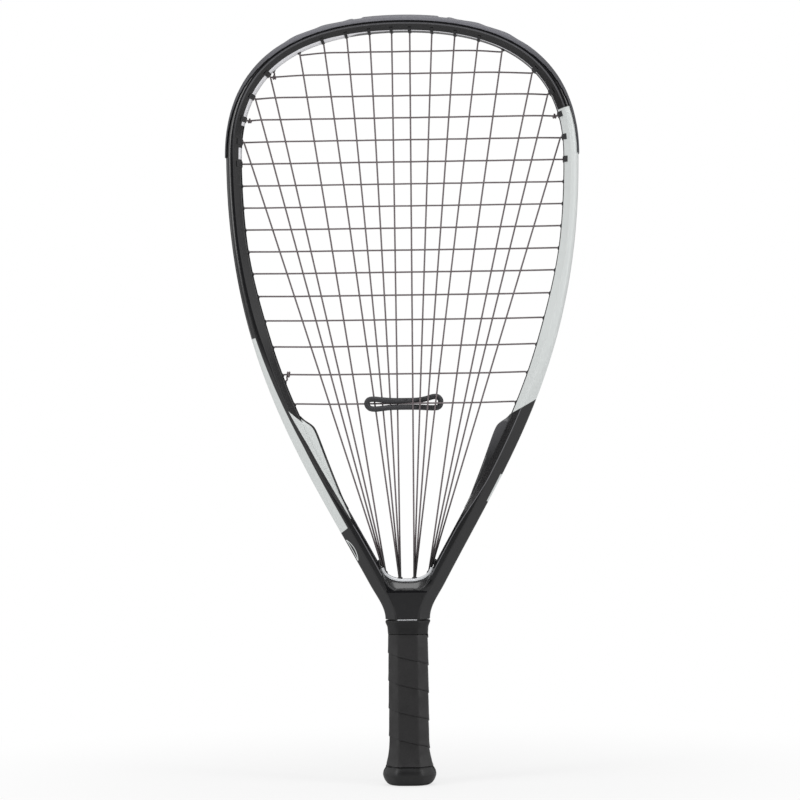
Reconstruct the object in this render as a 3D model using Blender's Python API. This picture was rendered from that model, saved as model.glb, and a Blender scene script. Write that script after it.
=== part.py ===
"""Racquetball racket on its butt end: z runs up the handle to the head, the strings lie in the x-z plane."""

import math

import bmesh
import bpy
import numpy as np

MM = 0.001
GAP = 0.3

# Outer edge of the frame, in mm: neck, shoulder where the limbs leave the yoke, widest point, top.
NECK_HEIGHT = 120.3
NECK_HALF_WIDTH = 16.0
SHOULDER_RISE = 25.0
SHOULDER_SPREAD = 10.9
SHOULDER_LEAN = math.radians(28.1)
WIDEST_RISE = 311.0
HEAD_HALF_WIDTH = 127.9
CROWN_RISE = 101.0
LIMB_PULL_LOW = 0.335
LIMB_PULL_HIGH = 0.472
CROWN_PULL_SIDE = 0.473
CROWN_PULL_TOP = 0.82

# Section of the frame: n runs inward from the outer edge, b runs along y.
RIM_WIDTH = 10.9
LIMB_WIDTH = 13.0
FRAME_HALF_DEPTH = 11.0
FRAME_WALL = 1.5
FLOOR_THICKNESS = 1.1
RIDGE_THICKNESS = 1.2
BUMPER_PROUD = 1.5
BUMPER_END_RISE = 0.2
SHALLOW_GROOVE = 0.35
GROOVE_END_DROP = 13.0

# Strings
STRING_RADIUS = 0.625
STRING_CLEARANCE = 0.3
LANE_OFFSET = 2.3
WEAVE = 1.5
MAINS = 16
CROSSES = 16
TOP_CROSS_DROP = 24.9
CROSS_SPACING = 16.03
CROSS_SPREAD = 0.61
CROSS_SPREAD_FROM = 10
CENTRE_MAIN_OFFSET = 6.6
MAIN_TOP_SPACING = 15.0
MAIN_TOP_SPREAD = 1.1
BARREL_WALL = 0.5
BARREL_PROUD = 1.2
TIE_OFF_SHIFT = 5.5
COIL_SPACE = 0.95

# Throat, heights above the neck
SADDLE_RISE = 26.9
YOKE_HALF_DEPTH = 9.4
PANEL_PROUD = 0.35
VOID_TOP_RISE = 23.2
BUNDLE_OUTER = (15.6, 31.0)
BUNDLE_INNER = (5.2, 27.0)
BUNDLE_HALF_X = 0.92
BUNDLE_HALF_Y = 2.15
ANCHOR_RADIUS = 1.2
ANCHOR_HALF_LENGTH = 21.5
LINER_THICKNESS = 1.6
LINER_HALF_DEPTH = 4.7

# Throat rails
RAIL_TOP_RISE = 148.0
RAIL_BOTTOM_RISE = 80.0
RAIL_WIDTH = 5.4
RAIL_HALF_DEPTH = 5.2
RAIL_PEGS = 3
PEG_RADIUS = 1.5

# Handle
GRIP_HALF_WIDTH = 14.35
GRIP_HALF_DEPTH = 12.75
GRIP_BEVEL = 6.6
TAPE_THICKNESS = 1.7
TAPE_TURN = 19.2
SLEEVE_THICKNESS = 2.2
SHAFT_WALL = 1.7
COLLAR_DROP = 11.1
CAP_HEIGHT = 13.6
CAP_NECK = 26.0
CAP_FLOOR = 4.0
CAP_HALF_WIDTH = 19.5
CAP_SHORTER = 1.6
FLARE = 2.6
LANYARD_RADIUS = 3.5
COLLAR_FLARE = 1.85
TACK_RADIUS = 0.9

# Dampener
DAMPENER_RADIUS = 1.65
DAMPENER_HALF_WIDTH = 27.4
DAMPENER_ABOVE = 2.7
DAMPENER_BELOW = 4.3

HEAD_TOP = NECK_HEIGHT + SHOULDER_RISE + WIDEST_RISE + CROWN_RISE
GRIP_TOP = NECK_HEIGHT - COLLAR_DROP
GROOVE_DEPTH = FLOOR_THICKNESS + 2 * STRING_RADIUS + STRING_CLEARANCE + GAP
CHANNEL_HALF = LANE_OFFSET + STRING_RADIUS + STRING_CLEARANCE
GROOVE_HALF = CHANNEL_HALF + RIDGE_THICKNESS + GAP
FLOOR_TOP = GROOVE_DEPTH - GAP - FLOOR_THICKNESS
LANE = FLOOR_TOP - STRING_CLEARANCE - STRING_RADIUS
BORE_RADIUS = STRING_RADIUS + 0.42
BARREL_RADIUS = BORE_RADIUS + BARREL_WALL + 0.2
HOLE_RADIUS = BARREL_RADIUS + GAP + 0.1
TURN_DEPTH = 0.9


def collection(name):
    found = bpy.data.collections.new(name)
    bpy.context.scene.collection.children.link(found)
    return found


def clear_scene():
    for obj in list(bpy.data.objects):
        bpy.data.objects.remove(obj, do_unlink=True)


clear_scene()
RACKET = collection("racquetball_racket")
CUTTERS = collection("cutters")
CUTTERS.hide_render = True


# Shapes

def skin(rings):
    """Points and faces of a closed skin through rings of equal counts, with flat ends."""
    count = len(rings[0])
    points = np.concatenate(rings)
    faces = []
    for start in range(0, len(points) - count, count):
        for i in range(count):
            j = (i + 1) % count
            faces.append((start + i, start + j, start + count + j, start + count + i))
    faces.append(tuple(range(count)))
    faces.append(tuple(range(len(points) - count, len(points))))
    return points, faces


def mesh_object(name, skins, group):
    """One mesh object in metres from a list of (points, faces) in mm."""
    points = np.concatenate([piece[0] for piece in skins]) * MM
    faces = []
    start = 0
    for piece_points, piece_faces in skins:
        faces += [tuple(start + i for i in face) for face in piece_faces]
        start += len(piece_points)
    mesh = bpy.data.meshes.new(name)
    mesh.from_pydata(points.tolist(), [], faces)
    bm = bmesh.new()
    bm.from_mesh(mesh)
    bmesh.ops.recalc_face_normals(bm, faces=bm.faces)
    bm.to_mesh(mesh)
    bm.free()
    obj = bpy.data.objects.new(name, mesh)
    group.objects.link(obj)
    if group is CUTTERS:
        obj.hide_render = True
        obj.display_type = "WIRE"
    return obj


def boolean(obj, tool, operation):
    step = obj.modifiers.new(tool.name, "BOOLEAN")
    step.operation = operation
    step.solver = "EXACT"
    step.object = tool


def cut(obj, name, skins):
    boolean(obj, mesh_object(name, skins, CUTTERS), "DIFFERENCE")


def join(obj, name, skins):
    boolean(obj, mesh_object(name, skins, CUTTERS), "UNION")


def smooth(obj, angle):
    for polygon in obj.data.polygons:
        polygon.use_smooth = True
    with bpy.context.temp_override(object=obj, active_object=obj, selected_editable_objects=[obj]):
        bpy.ops.object.shade_smooth_by_angle(angle=math.radians(angle))


def material(obj, colour, roughness, metallic=0.0):
    found = bpy.data.materials.new(obj.name)
    found.use_nodes = True
    shader = found.node_tree.nodes["Principled BSDF"]
    shader.inputs["Base Color"].default_value = (*colour, 1.0)
    shader.inputs["Roughness"].default_value = roughness
    shader.inputs["Metallic"].default_value = metallic
    obj.data.materials.append(found)


def tube(name, path, radius, sides_level, cyclic=False):
    """A string or cord: a straight-run spline through the path, closed by caps where it ends."""
    curve = bpy.data.curves.new(name, "CURVE")
    curve.dimensions = "3D"
    spline = curve.splines.new("POLY")
    spline.points.add(len(path) - 1)
    for place, point in zip(spline.points, path):
        place.co = (*(np.asarray(point) * MM), 1.0)
    spline.use_cyclic_u = cyclic
    spline.use_smooth = True
    curve.bevel_depth = radius * MM
    curve.bevel_resolution = sides_level
    curve.use_fill_caps = not cyclic
    obj = bpy.data.objects.new(name, curve)
    RACKET.objects.link(obj)
    return obj


def bezier(ends, count):
    t = np.linspace(0.0, 1.0, count)[:, None]
    a, b, c, d = (np.array(end, float) for end in ends)
    return (1 - t) ** 3 * a + 3 * (1 - t) ** 2 * t * b + 3 * (1 - t) * t**2 * c + t**3 * d


# The outer edge of the head

def edge_table():
    """Arc length from the top, point and inward normal along the edge, from the left neck to the right one."""
    neck = np.array([NECK_HALF_WIDTH, NECK_HEIGHT])
    shoulder = neck + [SHOULDER_SPREAD, SHOULDER_RISE]
    widest = np.array([HEAD_HALF_WIDTH, shoulder[1] + WIDEST_RISE])
    top = np.array([0.0, HEAD_TOP])
    lean = np.array([math.sin(SHOULDER_LEAN), math.cos(SHOULDER_LEAN)])
    up = np.array([0.0, 1.0])
    across = np.array([1.0, 0.0])
    pull = SHOULDER_RISE * 0.36
    low = bezier((neck, neck + up * pull, shoulder - lean * pull, shoulder), 60)
    limb = bezier(
        (
            shoulder,
            shoulder + lean * WIDEST_RISE * LIMB_PULL_LOW,
            widest - up * WIDEST_RISE * LIMB_PULL_HIGH,
            widest,
        ),
        500,
    )
    crown = bezier(
        (
            widest,
            widest + up * CROWN_RISE * CROWN_PULL_SIDE,
            top + across * HEAD_HALF_WIDTH * CROWN_PULL_TOP,
            top,
        ),
        400,
    )
    right = np.concatenate([low, limb[1:], crown[1:]])[::-1]
    left = (right * [-1.0, 1.0])[:0:-1]
    points = np.concatenate([left, right])
    steps = np.hypot(*np.diff(points, axis=0).T)
    arc = np.concatenate([[0.0], np.cumsum(steps)])
    arc -= arc[-1] / 2
    tangent = np.gradient(points, arc, axis=0)
    tangent /= np.hypot(*tangent.T)[:, None]
    return arc, points, np.stack([tangent[:, 1], -tangent[:, 0]], axis=1)


EDGE_ARC, EDGE_POINT, EDGE_NORMAL = edge_table()
EDGE_END = EDGE_ARC[-1]


def edge_at(arc):
    point = np.array([np.interp(arc, EDGE_ARC, EDGE_POINT[:, i]) for i in (0, 1)])
    normal = np.array([np.interp(arc, EDGE_ARC, EDGE_NORMAL[:, i]) for i in (0, 1)])
    return point, normal / np.hypot(*normal)


def rim_width(height):
    """In-plane width of the frame, wider in the lower limbs than round the crown."""
    t = np.clip((NECK_HEIGHT + 280.0 - height) / 80.0, 0.0, 1.0)
    return RIM_WIDTH + (LIMB_WIDTH - RIM_WIDTH) * t * t * (3 - 2 * t)


def place(arc, n, b):
    """Point in space at arc length, depth n inward from the edge and b along y."""
    point, normal = edge_at(arc)
    x, z = point + normal * n
    return np.array([x, b, z])


INNER_EDGE = EDGE_POINT + EDGE_NORMAL * rim_width(EDGE_POINT[:, 1])[:, None]


def arc_at_height(height, side):
    """Arc length where the inner edge of the frame stands at this height, on the left (-1) or right (1)."""
    half = EDGE_ARC * side > 0
    order = np.argsort(INNER_EDGE[half][:, 1])
    return float(np.interp(height, INNER_EDGE[half][order, 1], EDGE_ARC[half][order]))


def arc_at_width(x):
    upper = INNER_EDGE[:, 1] > HEAD_TOP - CROWN_RISE
    return float(np.interp(x, INNER_EDGE[upper, 0], EDGE_ARC[upper]))


def outer_arc_at_height(height, side):
    half = EDGE_ARC * side > 0
    order = np.argsort(EDGE_POINT[half][:, 1])
    return float(np.interp(height, EDGE_POINT[half][order, 1], EDGE_ARC[half][order]))


def stations(turn, longest):
    """Arc lengths from the top outwards, closer where the edge turns, mirrored to both sides."""
    found = [0.0]
    angles = np.unwrap(np.arctan2(EDGE_NORMAL[:, 1], EDGE_NORMAL[:, 0]))
    right = EDGE_ARC >= 0
    arcs, angles = EDGE_ARC[right], angles[right]
    heading = angles[0]
    for arc, angle in zip(arcs, angles):
        if abs(angle - heading) >= turn or arc - found[-1] >= longest:
            found.append(float(arc))
            heading = angle
    if EDGE_END - found[-1] < 3.0:
        found.pop()
    found.append(float(EDGE_END))
    return [-arc for arc in found[:0:-1]] + found


def groove_ends():
    """Where the groove in the outer edge begins to run out, and where it has, on the right side."""
    height = cross_height(CROSSES - 1) - GROOVE_END_DROP
    return outer_arc_at_height(height, 1), outer_arc_at_height(height - 4.0, 1)


def frame_stations():
    deep, shallow = groove_ends()
    right = [arc for arc in stations(math.radians(8.0), 28.0) if arc > 1.0]
    right = [arc for arc in right if not deep - 4.0 < arc < shallow + 4.0] + [deep, shallow]
    return [-arc for arc in sorted(right, reverse=True)] + [0.0] + sorted(right)


# Strings in the plane

def cross_height(row):
    """Height of a cross string, row 0 at the top."""
    spread = max(0, row - CROSS_SPREAD_FROM)
    return HEAD_TOP - TOP_CROSS_DROP - CROSS_SPACING * row - CROSS_SPREAD * spread**2


def main_top_x(index):
    """Distance of a main string's top from the centre line, index 0 next to the centre."""
    return CENTRE_MAIN_OFFSET + MAIN_TOP_SPACING * index + MAIN_TOP_SPREAD * index**1.35


FRAME_STATIONS = frame_stations()
SHARED_ROWS = {4: 0, 5: 1, 6: 2, 7: 4}


def main_holes():
    """(arc, lane) of the top hole of each main string, from the left."""
    found = []
    for main in range(MAINS):
        side = -1 if main < MAINS // 2 else 1
        index = MAINS // 2 - 1 - main if side < 0 else main - MAINS // 2
        if index in SHARED_ROWS:
            found.append((arc_at_height(cross_height(SHARED_ROWS[index]), side), -LANE_OFFSET))
        else:
            found.append((arc_at_width(side * main_top_x(index)), 0.0))
    return found


def cross_hole(row, side):
    lane = LANE_OFFSET if row <= max(SHARED_ROWS.values()) else 0.0
    return arc_at_height(cross_height(row), side), lane


MAIN_HOLES = main_holes()
CROSS_HOLES = {(row, side): cross_hole(row, side) for row in range(CROSSES) for side in (-1, 1)}


def tie_off_holes():
    """The extra holes that the string ends come back through: two for the mains and two for the crosses."""
    found = {}
    for side in (-1, 1):
        found["main", side] = (CROSS_HOLES[3, side][0], -LANE_OFFSET)
    found["cross", 0] = (CROSS_HOLES[1, -1][0] + TIE_OFF_SHIFT, LANE_OFFSET)
    found["cross", CROSSES - 1] = (CROSS_HOLES[CROSSES - 2, -1][0] - TIE_OFF_SHIFT, 0.0)
    return found


TIE_OFF_HOLES = tie_off_holes()
ALL_HOLES = MAIN_HOLES + list(CROSS_HOLES.values()) + list(TIE_OFF_HOLES.values())


def inner_n(arc):
    return float(rim_width(edge_at(arc)[0][1]))


def mouth(hole):
    """Where a string turns, just clear of the barrel inside the head."""
    arc, lane = hole
    return place(arc, inner_n(arc) + BARREL_PROUD + STRING_RADIUS + 0.25, lane)


def peg(hole, n_from, n_to, radius, sides=6):
    """A prism along the frame's inward normal."""
    arc, lane = hole
    point, normal = edge_at(arc)
    tangent = np.array([normal[1], -normal[0]])
    rings = []
    for n in (n_from, n_to):
        ring = []
        for i in range(sides):
            angle = math.tau * (i + 0.5) / sides
            x, z = point + normal * n + tangent * radius * math.cos(angle)
            ring.append((x, lane + radius * math.sin(angle), z))
        rings.append(np.array(ring))
    return skin(rings)


def cylinder(start, end, radius, sides):
    """A prism between two points in space."""
    start, end = np.array(start, float), np.array(end, float)
    axis = (end - start) / np.linalg.norm(end - start)
    first = np.cross(axis, [0.0, 0.0, 1.0] if abs(axis[2]) < 0.9 else [1.0, 0.0, 0.0])
    first /= np.linalg.norm(first)
    second = np.cross(axis, first)
    angles = math.tau * (np.arange(sides) + 0.5) / sides
    circle = radius * (np.cos(angles)[:, None] * first + np.sin(angles)[:, None] * second)
    return skin([start + circle, end + circle])


# Frame

def mirrored(half):
    """A section given for b > 0, followed by its mirror image."""
    return list(half) + [(n, -b) for n, b in reversed(half)]


def frame_section(arc):
    point, _ = edge_at(arc)
    width = float(rim_width(point[1]))
    depth = FRAME_HALF_DEPTH
    grooved = abs(arc) < groove_ends()[0] + 0.5
    return mirrored(
        [
            (GROOVE_DEPTH if grooved else SHALLOW_GROOVE, GROOVE_HALF),
            (0.0, GROOVE_HALF),
            (0.25, depth * 0.6),
            (1.5, depth * 0.85),
            (0.32 * width, depth * 0.98),
            (0.5 * width, depth),
            (0.72 * width, depth * 0.88),
            (0.9 * width, depth * 0.58),
            (width, depth * 0.24),
        ]
    )


def void_section(arc):
    width = inner_n(arc)
    depth = FRAME_HALF_DEPTH
    return mirrored(
        [
            (GROOVE_DEPTH + FRAME_WALL, depth * 0.5),
            (FRAME_WALL + 1.7, depth * 0.78),
            (0.5 * width, depth - FRAME_WALL),
            (0.76 * width, depth * 0.57),
            (width - FRAME_WALL, depth * 0.2),
        ]
    )


def sweep(arcs, section):
    return skin([np.array([place(arc, n, b) for n, b in section(arc)]) for arc in arcs])


def octagon(half_x, half_y, bevel, height):
    return np.array(
        [
            (half_x, -half_y + bevel, height),
            (half_x, half_y - bevel, height),
            (half_x - bevel, half_y, height),
            (-half_x + bevel, half_y, height),
            (-half_x, half_y - bevel, height),
            (-half_x, -half_y + bevel, height),
            (-half_x + bevel, -half_y, height),
            (half_x - bevel, -half_y, height),
        ]
    )


def handle_octagon(inset, height, extra=0.0):
    """The grip's eight sides, moved in by inset and out by extra."""
    move = extra - inset
    return octagon(GRIP_HALF_WIDTH + move, GRIP_HALF_DEPTH + move, GRIP_BEVEL + 0.586 * move, height)


SLEEVE_INSET = TAPE_THICKNESS + GAP
SHAFT_INSET = SLEEVE_INSET + SLEEVE_THICKNESS + GAP


def edge_half_width(height):
    half = EDGE_ARC > 0
    order = np.argsort(EDGE_POINT[half][:, 1])
    return float(np.interp(height, EDGE_POINT[half][order, 1], EDGE_POINT[half][order, 0]))


def yoke():
    rings = []
    for rise in (-0.6, 6.0, 14.0, 25.0, 37.5):
        height = NECK_HEIGHT + rise
        half = edge_half_width(max(height, NECK_HEIGHT)) - 4.0
        rings.append(octagon(half, YOKE_HALF_DEPTH, 1.5, height))
    return skin(rings)


def panel():
    depth = FRAME_HALF_DEPTH + PANEL_PROUD
    return skin(
        [
            octagon(8.5, depth, 1.0, NECK_HEIGHT - 0.3),
            octagon(9.6, depth, 1.0, NECK_HEIGHT + 12.0),
            octagon(12.0, depth, 1.0, NECK_HEIGHT + SADDLE_RISE),
        ]
    )


def shaft():
    return skin([handle_octagon(SHAFT_INSET, height) for height in (CAP_FLOOR + GAP, NECK_HEIGHT + 6.0)])


def saddle_outline(flare):
    """Lower edge of the opening above the yoke, (half width, height); flare is 0 at mid depth, 1 at a face."""
    low = NECK_HEIGHT + SADDLE_RISE
    middle = np.array(
        [(4.0, 0.0), (8.0, 0.55), (11.9, 1.8), (15.5, 4.1), (18.2, 7.4), (19.2, 11.5), (19.4, 16.1)]
    )
    face = np.array(
        [(4.0, -5.8), (8.0, -5.6), (12.5, -3.0), (16.3, 1.8), (19.2, 6.6), (20.2, 11.0), (20.4, 16.1)]
    )
    return (middle + (face - middle) * flare) + [0.0, low]


def opening():
    """The space above the saddle, wider at the two faces than at mid depth."""
    rings = []
    deep = FRAME_HALF_DEPTH + 2.0
    near = LINER_HALF_DEPTH + GAP
    for y, flare in ((-deep, 1.15), (-near, 0.0), (near, 0.0), (deep, 1.15)):
        right = saddle_outline(flare)
        outline = np.concatenate([right[::-1] * [-1.0, 1.0], right])
        rings.append(np.array([(x, y, z) for x, z in outline]))
    return skin(rings)


def yoke_void():
    rings = []
    for rise, half_x, half_y in (
        (-2.5, 7.6, 6.4),
        (5.0, 8.6, 7.0),
        (17.0, 15.0, 7.4),
        (VOID_TOP_RISE, 19.6, 7.4),
    ):
        rings.append(octagon(half_x, half_y, 1.6, NECK_HEIGHT + rise))
    return skin(rings)


def shaft_void():
    rings = [handle_octagon(SHAFT_INSET + SHAFT_WALL, height) for height in (0.0, NECK_HEIGHT)]
    return skin(rings)


ANCHOR_HEIGHT = NECK_HEIGHT + VOID_TOP_RISE - GAP - ANCHOR_RADIUS


def bundle_axis(bundle):
    """(entry point, downward direction) of a bundle of four mains, bundle 0 at the left."""
    side = -1 if bundle < 2 else 1
    x, rise = BUNDLE_OUTER if bundle in (0, 3) else BUNDLE_INNER
    entry = np.array([side * x, NECK_HEIGHT + rise])
    tops = np.array([place(MAIN_HOLES[4 * bundle + i][0], RIM_WIDTH, 0.0)[[0, 2]] for i in range(4)])
    way = entry - tops.mean(axis=0)
    return entry, way / np.hypot(*way)


def bundle_prism(bundle, above, below, grow):
    """An oblong prism round the four strings of a bundle."""
    entry, way = bundle_axis(bundle)
    across = np.array([way[1], -way[0]])
    half_x = BUNDLE_HALF_X + STRING_RADIUS + grow
    half_y = BUNDLE_HALF_Y + STRING_RADIUS + grow
    bevel = 0.25 * half_x
    rings = []
    for along in (-above, below):
        ring = []
        for u, v, _ in octagon(half_x, half_y, bevel, 0.0):
            x, z = entry + way * along + across * u
            ring.append((x, v, z))
        rings.append(np.array(ring))
    return skin(rings)


def rail_arcs(side):
    top = arc_at_height(NECK_HEIGHT + RAIL_TOP_RISE, side)
    bottom = arc_at_height(NECK_HEIGHT + RAIL_BOTTOM_RISE, side)
    return top, bottom


def peg_holes(side):
    top, bottom = rail_arcs(side)
    return [(top + (bottom - top) * (0.24 + 0.2 * i), 0.0) for i in range(RAIL_PEGS)]


def tack_ends(angle_index, start, end):
    """Ends of a tack that runs straight in from the middle of one side of the handle."""
    x, y = ((1, 0), (0, 1), (-1, 0), (0, -1))[angle_index]
    base = np.array([x * GRIP_HALF_WIDTH, y * GRIP_HALF_DEPTH, 20.0])
    way = np.array([-x, -y, 0.0])
    return base + way * start, base + way * end


def build_frame():
    obj = mesh_object("frame", [sweep(FRAME_STATIONS, frame_section)], RACKET)
    join(obj, "frame_yoke", [yoke()])
    join(obj, "frame_panel", [panel()])
    join(obj, "frame_shaft", [shaft()])
    cut(obj, "frame_opening", [opening()])
    cut(obj, "frame_hollow", [sweep(FRAME_STATIONS[1:-1], void_section)])
    cut(obj, "frame_yoke_hollow", [yoke_void()])
    cut(obj, "frame_shaft_hollow", [shaft_void()])
    holes = [peg(hole, 0.6, inner_n(hole[0]) + 2.5, HOLE_RADIUS) for hole in ALL_HOLES]
    cut(obj, "frame_string_holes", holes)
    sleeve = STRING_CLEARANCE + BARREL_WALL + GAP
    slots = [bundle_prism(i, 9.0, below, sleeve) for i, below in enumerate((12.0, 6.5, 6.5, 12.0))]
    cut(obj, "frame_bundle_slots", slots)
    end = ANCHOR_HALF_LENGTH + GAP
    pocket = cylinder((-end, 0.0, ANCHOR_HEIGHT), (end, 0.0, ANCHOR_HEIGHT), ANCHOR_RADIUS + GAP, 8)
    cut(obj, "frame_anchor_pocket", [pocket])
    pegs = []
    for side in (-1, 1):
        for hole in peg_holes(side):
            wall = inner_n(hole[0])
            pegs.append(peg(hole, wall - FRAME_WALL - 2.6, wall + 3.0, PEG_RADIUS + GAP, 8))
    cut(obj, "frame_peg_holes", pegs)
    tacks = []
    for i in range(4):
        start, end = tack_ends(i, SHAFT_INSET - 1.0, SHAFT_INSET + SHAFT_WALL + 1.0)
        tacks.append(cylinder(start, end, TACK_RADIUS + GAP, 8))
    cut(obj, "frame_tack_holes", tacks)
    smooth(obj, 32)
    material(obj, (0.012, 0.012, 0.014), 0.12)
    return obj


# Bumper and grommet strips

BUMPER_END_HEIGHT = NECK_HEIGHT + SHOULDER_RISE + WIDEST_RISE + BUMPER_END_RISE
PAD_EDGES = (27.0, 31.0, 52.0, 56.0, 78.0)
PAD_DROP = 0.6


def pad_height(arc):
    """How far the bumper's outer face lies under its pads, at this arc length."""
    inside = sum(abs(arc) > edge for edge in PAD_EDGES)
    return PAD_DROP if inside % 2 else 0.0


FLANGE_THICKNESS = 1.15


def along(path, distance):
    """Point on a path of straight stretches at a distance from its start."""
    lengths = np.concatenate([[0.0], np.cumsum(np.linalg.norm(np.diff(path, axis=0), axis=1))])
    return np.array([np.interp(distance, lengths, path[:, i]) for i in range(path.shape[1])]), lengths[-1]


def bumper_section(arc):
    """The flange hugs the frame's shoulder and reaches far over it only round the crown."""
    reach = float(np.clip((190.0 - abs(arc)) / 90.0, 0.0, 1.0))
    depth = FRAME_HALF_DEPTH
    shoulder = np.array(
        [
            (-0.1, depth * 0.6 + 0.1),
            (1.2, depth * 0.85 + 0.33),
            (0.32 * RIM_WIDTH - 0.25, depth * 0.98 + 0.42),
        ]
    )
    length = along(shoulder, 0.0)[1]
    first = np.linalg.norm(shoulder[1] - shoulder[0])
    tip_at = length * (0.2 + 0.8 * reach)
    bend_at = min(first, tip_at * 0.6)
    tip = along(shoulder, tip_at)[0]
    bend = along(shoulder, bend_at)[0]
    low = pad_height(arc)
    thick = FLANGE_THICKNESS
    half = [
        (GROOVE_DEPTH - GAP, GROOVE_HALF - GAP),
        (-GAP - 0.05, GROOVE_HALF - GAP),
        tuple(shoulder[0]),
        tuple(bend),
        tuple(tip),
        tuple(tip + np.array([-0.62, 0.78]) * thick * 0.8),
        tuple(bend + np.array([-0.8, 0.6]) * thick),
        (-1.15 + 0.7 * low, depth * 0.62),
        (-BUMPER_PROUD + low, CHANNEL_HALF),
        (FLOOR_TOP, CHANNEL_HALF),
    ]
    return mirrored(half)


def strip_section(arc):
    return mirrored(
        [
            (GROOVE_DEPTH - GAP, GROOVE_HALF - GAP),
            (0.1, GROOVE_HALF - GAP),
            (0.1, CHANNEL_HALF),
            (FLOOR_TOP, CHANNEL_HALF),
        ]
    )


def between(arcs, low, high):
    inside = [arc for arc in arcs if low + 2.0 < arc < high - 2.0]
    return [low] + inside + [high]


def bumper_arcs():
    end = outer_arc_at_height(BUMPER_END_HEIGHT, 1)
    arcs = between(FRAME_STATIONS, -end, end)
    edges = [side * (edge + step) for side in (-1, 1) for edge in PAD_EDGES for step in (-0.5, 0.5)]
    kept = [arc for arc in arcs if min(abs(arc - edge) for edge in edges) > 1.5]
    return sorted(kept + edges)


def barrels(obj, holes):
    """Adds the barrels that carry the strings through the frame, then bores them."""
    outer = []
    bores = []
    for hole in holes:
        end = inner_n(hole[0]) + BARREL_PROUD
        outer.append(peg(hole, FLOOR_TOP + 0.5, end, BARREL_RADIUS))
        bores.append(peg(hole, FLOOR_TOP - 1.0, end + 1.0, BORE_RADIUS))
    join(obj, obj.name + "_barrels", outer)
    cut(obj, obj.name + "_bores", bores)


def build_bumper_guard():
    arcs = bumper_arcs()
    obj = mesh_object("bumper_guard", [sweep(arcs, bumper_section)], RACKET)
    barrels(obj, [hole for hole in ALL_HOLES if abs(hole[0]) < arcs[-1]])
    smooth(obj, 30)
    material(obj, (0.016, 0.016, 0.017), 0.55)


def build_grommet_strip(name, side):
    top = outer_arc_at_height(BUMPER_END_HEIGHT, 1) + 2 * GAP
    bottom = outer_arc_at_height(cross_height(CROSSES - 1) - 6.0, 1)
    arcs = between([arc for arc in FRAME_STATIONS if arc > 0], top, bottom)
    obj = mesh_object(name, [sweep([side * arc for arc in arcs], strip_section)], RACKET)
    barrels(obj, [hole for hole in ALL_HOLES if side * hole[0] > top])
    smooth(obj, 30)
    material(obj, (0.014, 0.014, 0.015), 0.5)


# Throat

def build_throat_liner():
    outline = saddle_outline(0.0)[:-2]
    path = np.concatenate([outline[::-1] * [-1.0, 1.0], outline])
    way = np.gradient(path, axis=0)
    way /= np.hypot(*way.T)[:, None]
    normal = np.stack([-way[:, 1], way[:, 0]], axis=1)
    rings = []
    for point, out in zip(path, normal):
        low = point + out * GAP
        high = point + out * (GAP + LINER_THICKNESS)
        y = LINER_HALF_DEPTH
        corners = ((low, -y), (low, y), (high, y), (high, -y))
        rings.append(np.array([(corner[0], b, corner[1]) for corner, b in corners]))
    obj = mesh_object("throat_liner", [skin(rings)], RACKET)
    outer = STRING_CLEARANCE + BARREL_WALL
    reaches = ((2.0, 5.0), (1.2, 3.0), (1.2, 3.0), (2.0, 5.0))
    sleeves = [bundle_prism(i, above, below, outer) for i, (above, below) in enumerate(reaches)]
    join(obj, "liner_sleeves", sleeves)
    cut(obj, "liner_bores", [bundle_prism(i, 9.0, 9.0, STRING_CLEARANCE) for i in range(4)])
    smooth(obj, 30)
    material(obj, (0.78, 0.79, 0.79), 0.35)


def build_string_anchor():
    ends = ((-ANCHOR_HALF_LENGTH, 0.0, ANCHOR_HEIGHT), (ANCHOR_HALF_LENGTH, 0.0, ANCHOR_HEIGHT))
    obj = mesh_object("string_anchor", [cylinder(*ends, ANCHOR_RADIUS, 12)], RACKET)
    smooth(obj, 40)
    material(obj, (0.55, 0.55, 0.56), 0.3, 1.0)


RAIL_SHAPE = (
    (0.0, 0.06),
    (0.06, 0.32),
    (0.14, 0.9),
    (0.2, 1.0),
    (0.35, 0.83),
    (0.6, 0.42),
    (0.82, 0.12),
    (1.0, 0.06),
)


def build_throat_rail(name, side, colour):
    """A fin on the inner side of a limb, widest near its upper end."""
    top, bottom = rail_arcs(side)
    rings = []
    for t, wide in RAIL_SHAPE:
        arc = top + (bottom - top) * t
        width = inner_n(arc)
        reach = RAIL_WIDTH * wide
        half = RAIL_HALF_DEPTH * (0.55 + 0.45 * min(1.0, wide * 2))
        fall = (half / FRAME_HALF_DEPTH - 0.24) / 0.34 * 0.1 * width
        section = mirrored(
            [
                (width + GAP + 0.05, FRAME_HALF_DEPTH * 0.2),
                (width - fall + GAP + 0.1, half),
                (width + GAP + reach * 0.45, half),
                (width + GAP + reach + 0.4, half * 0.45),
            ]
        )
        rings.append(np.array([place(arc, n, b) for n, b in section]))
    obj = mesh_object(name, [skin(rings)], RACKET)
    pegs = []
    for hole in peg_holes(side):
        wall = inner_n(hole[0])
        pegs.append(peg(hole, wall - FRAME_WALL - 0.8, wall + 1.6, PEG_RADIUS, 8))
    join(obj, name + "_pegs", pegs)
    smooth(obj, 30)
    material(obj, colour, 0.3)


# Strings

def main_entry(main):
    """Points of a main string from the string bed down to the anchor, at its place in the bundle."""
    bundle = main // 4
    entry, way = bundle_axis(bundle)
    across = np.array([-way[1], way[0]])
    lane = across * (-BUNDLE_HALF_X if main % 4 < 2 else BUNDLE_HALF_X)
    y = -BUNDLE_HALF_Y if main % 2 == 0 else BUNDLE_HALF_Y
    above = entry - way * 3.5 + lane
    depth = (ANCHOR_HEIGHT - entry[1]) / way[1]
    below = entry + way * depth + lane * [1.0, 0.0]
    return np.array([above[0], y, above[1]]), np.array([below[0], y, ANCHOR_HEIGHT])


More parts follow.
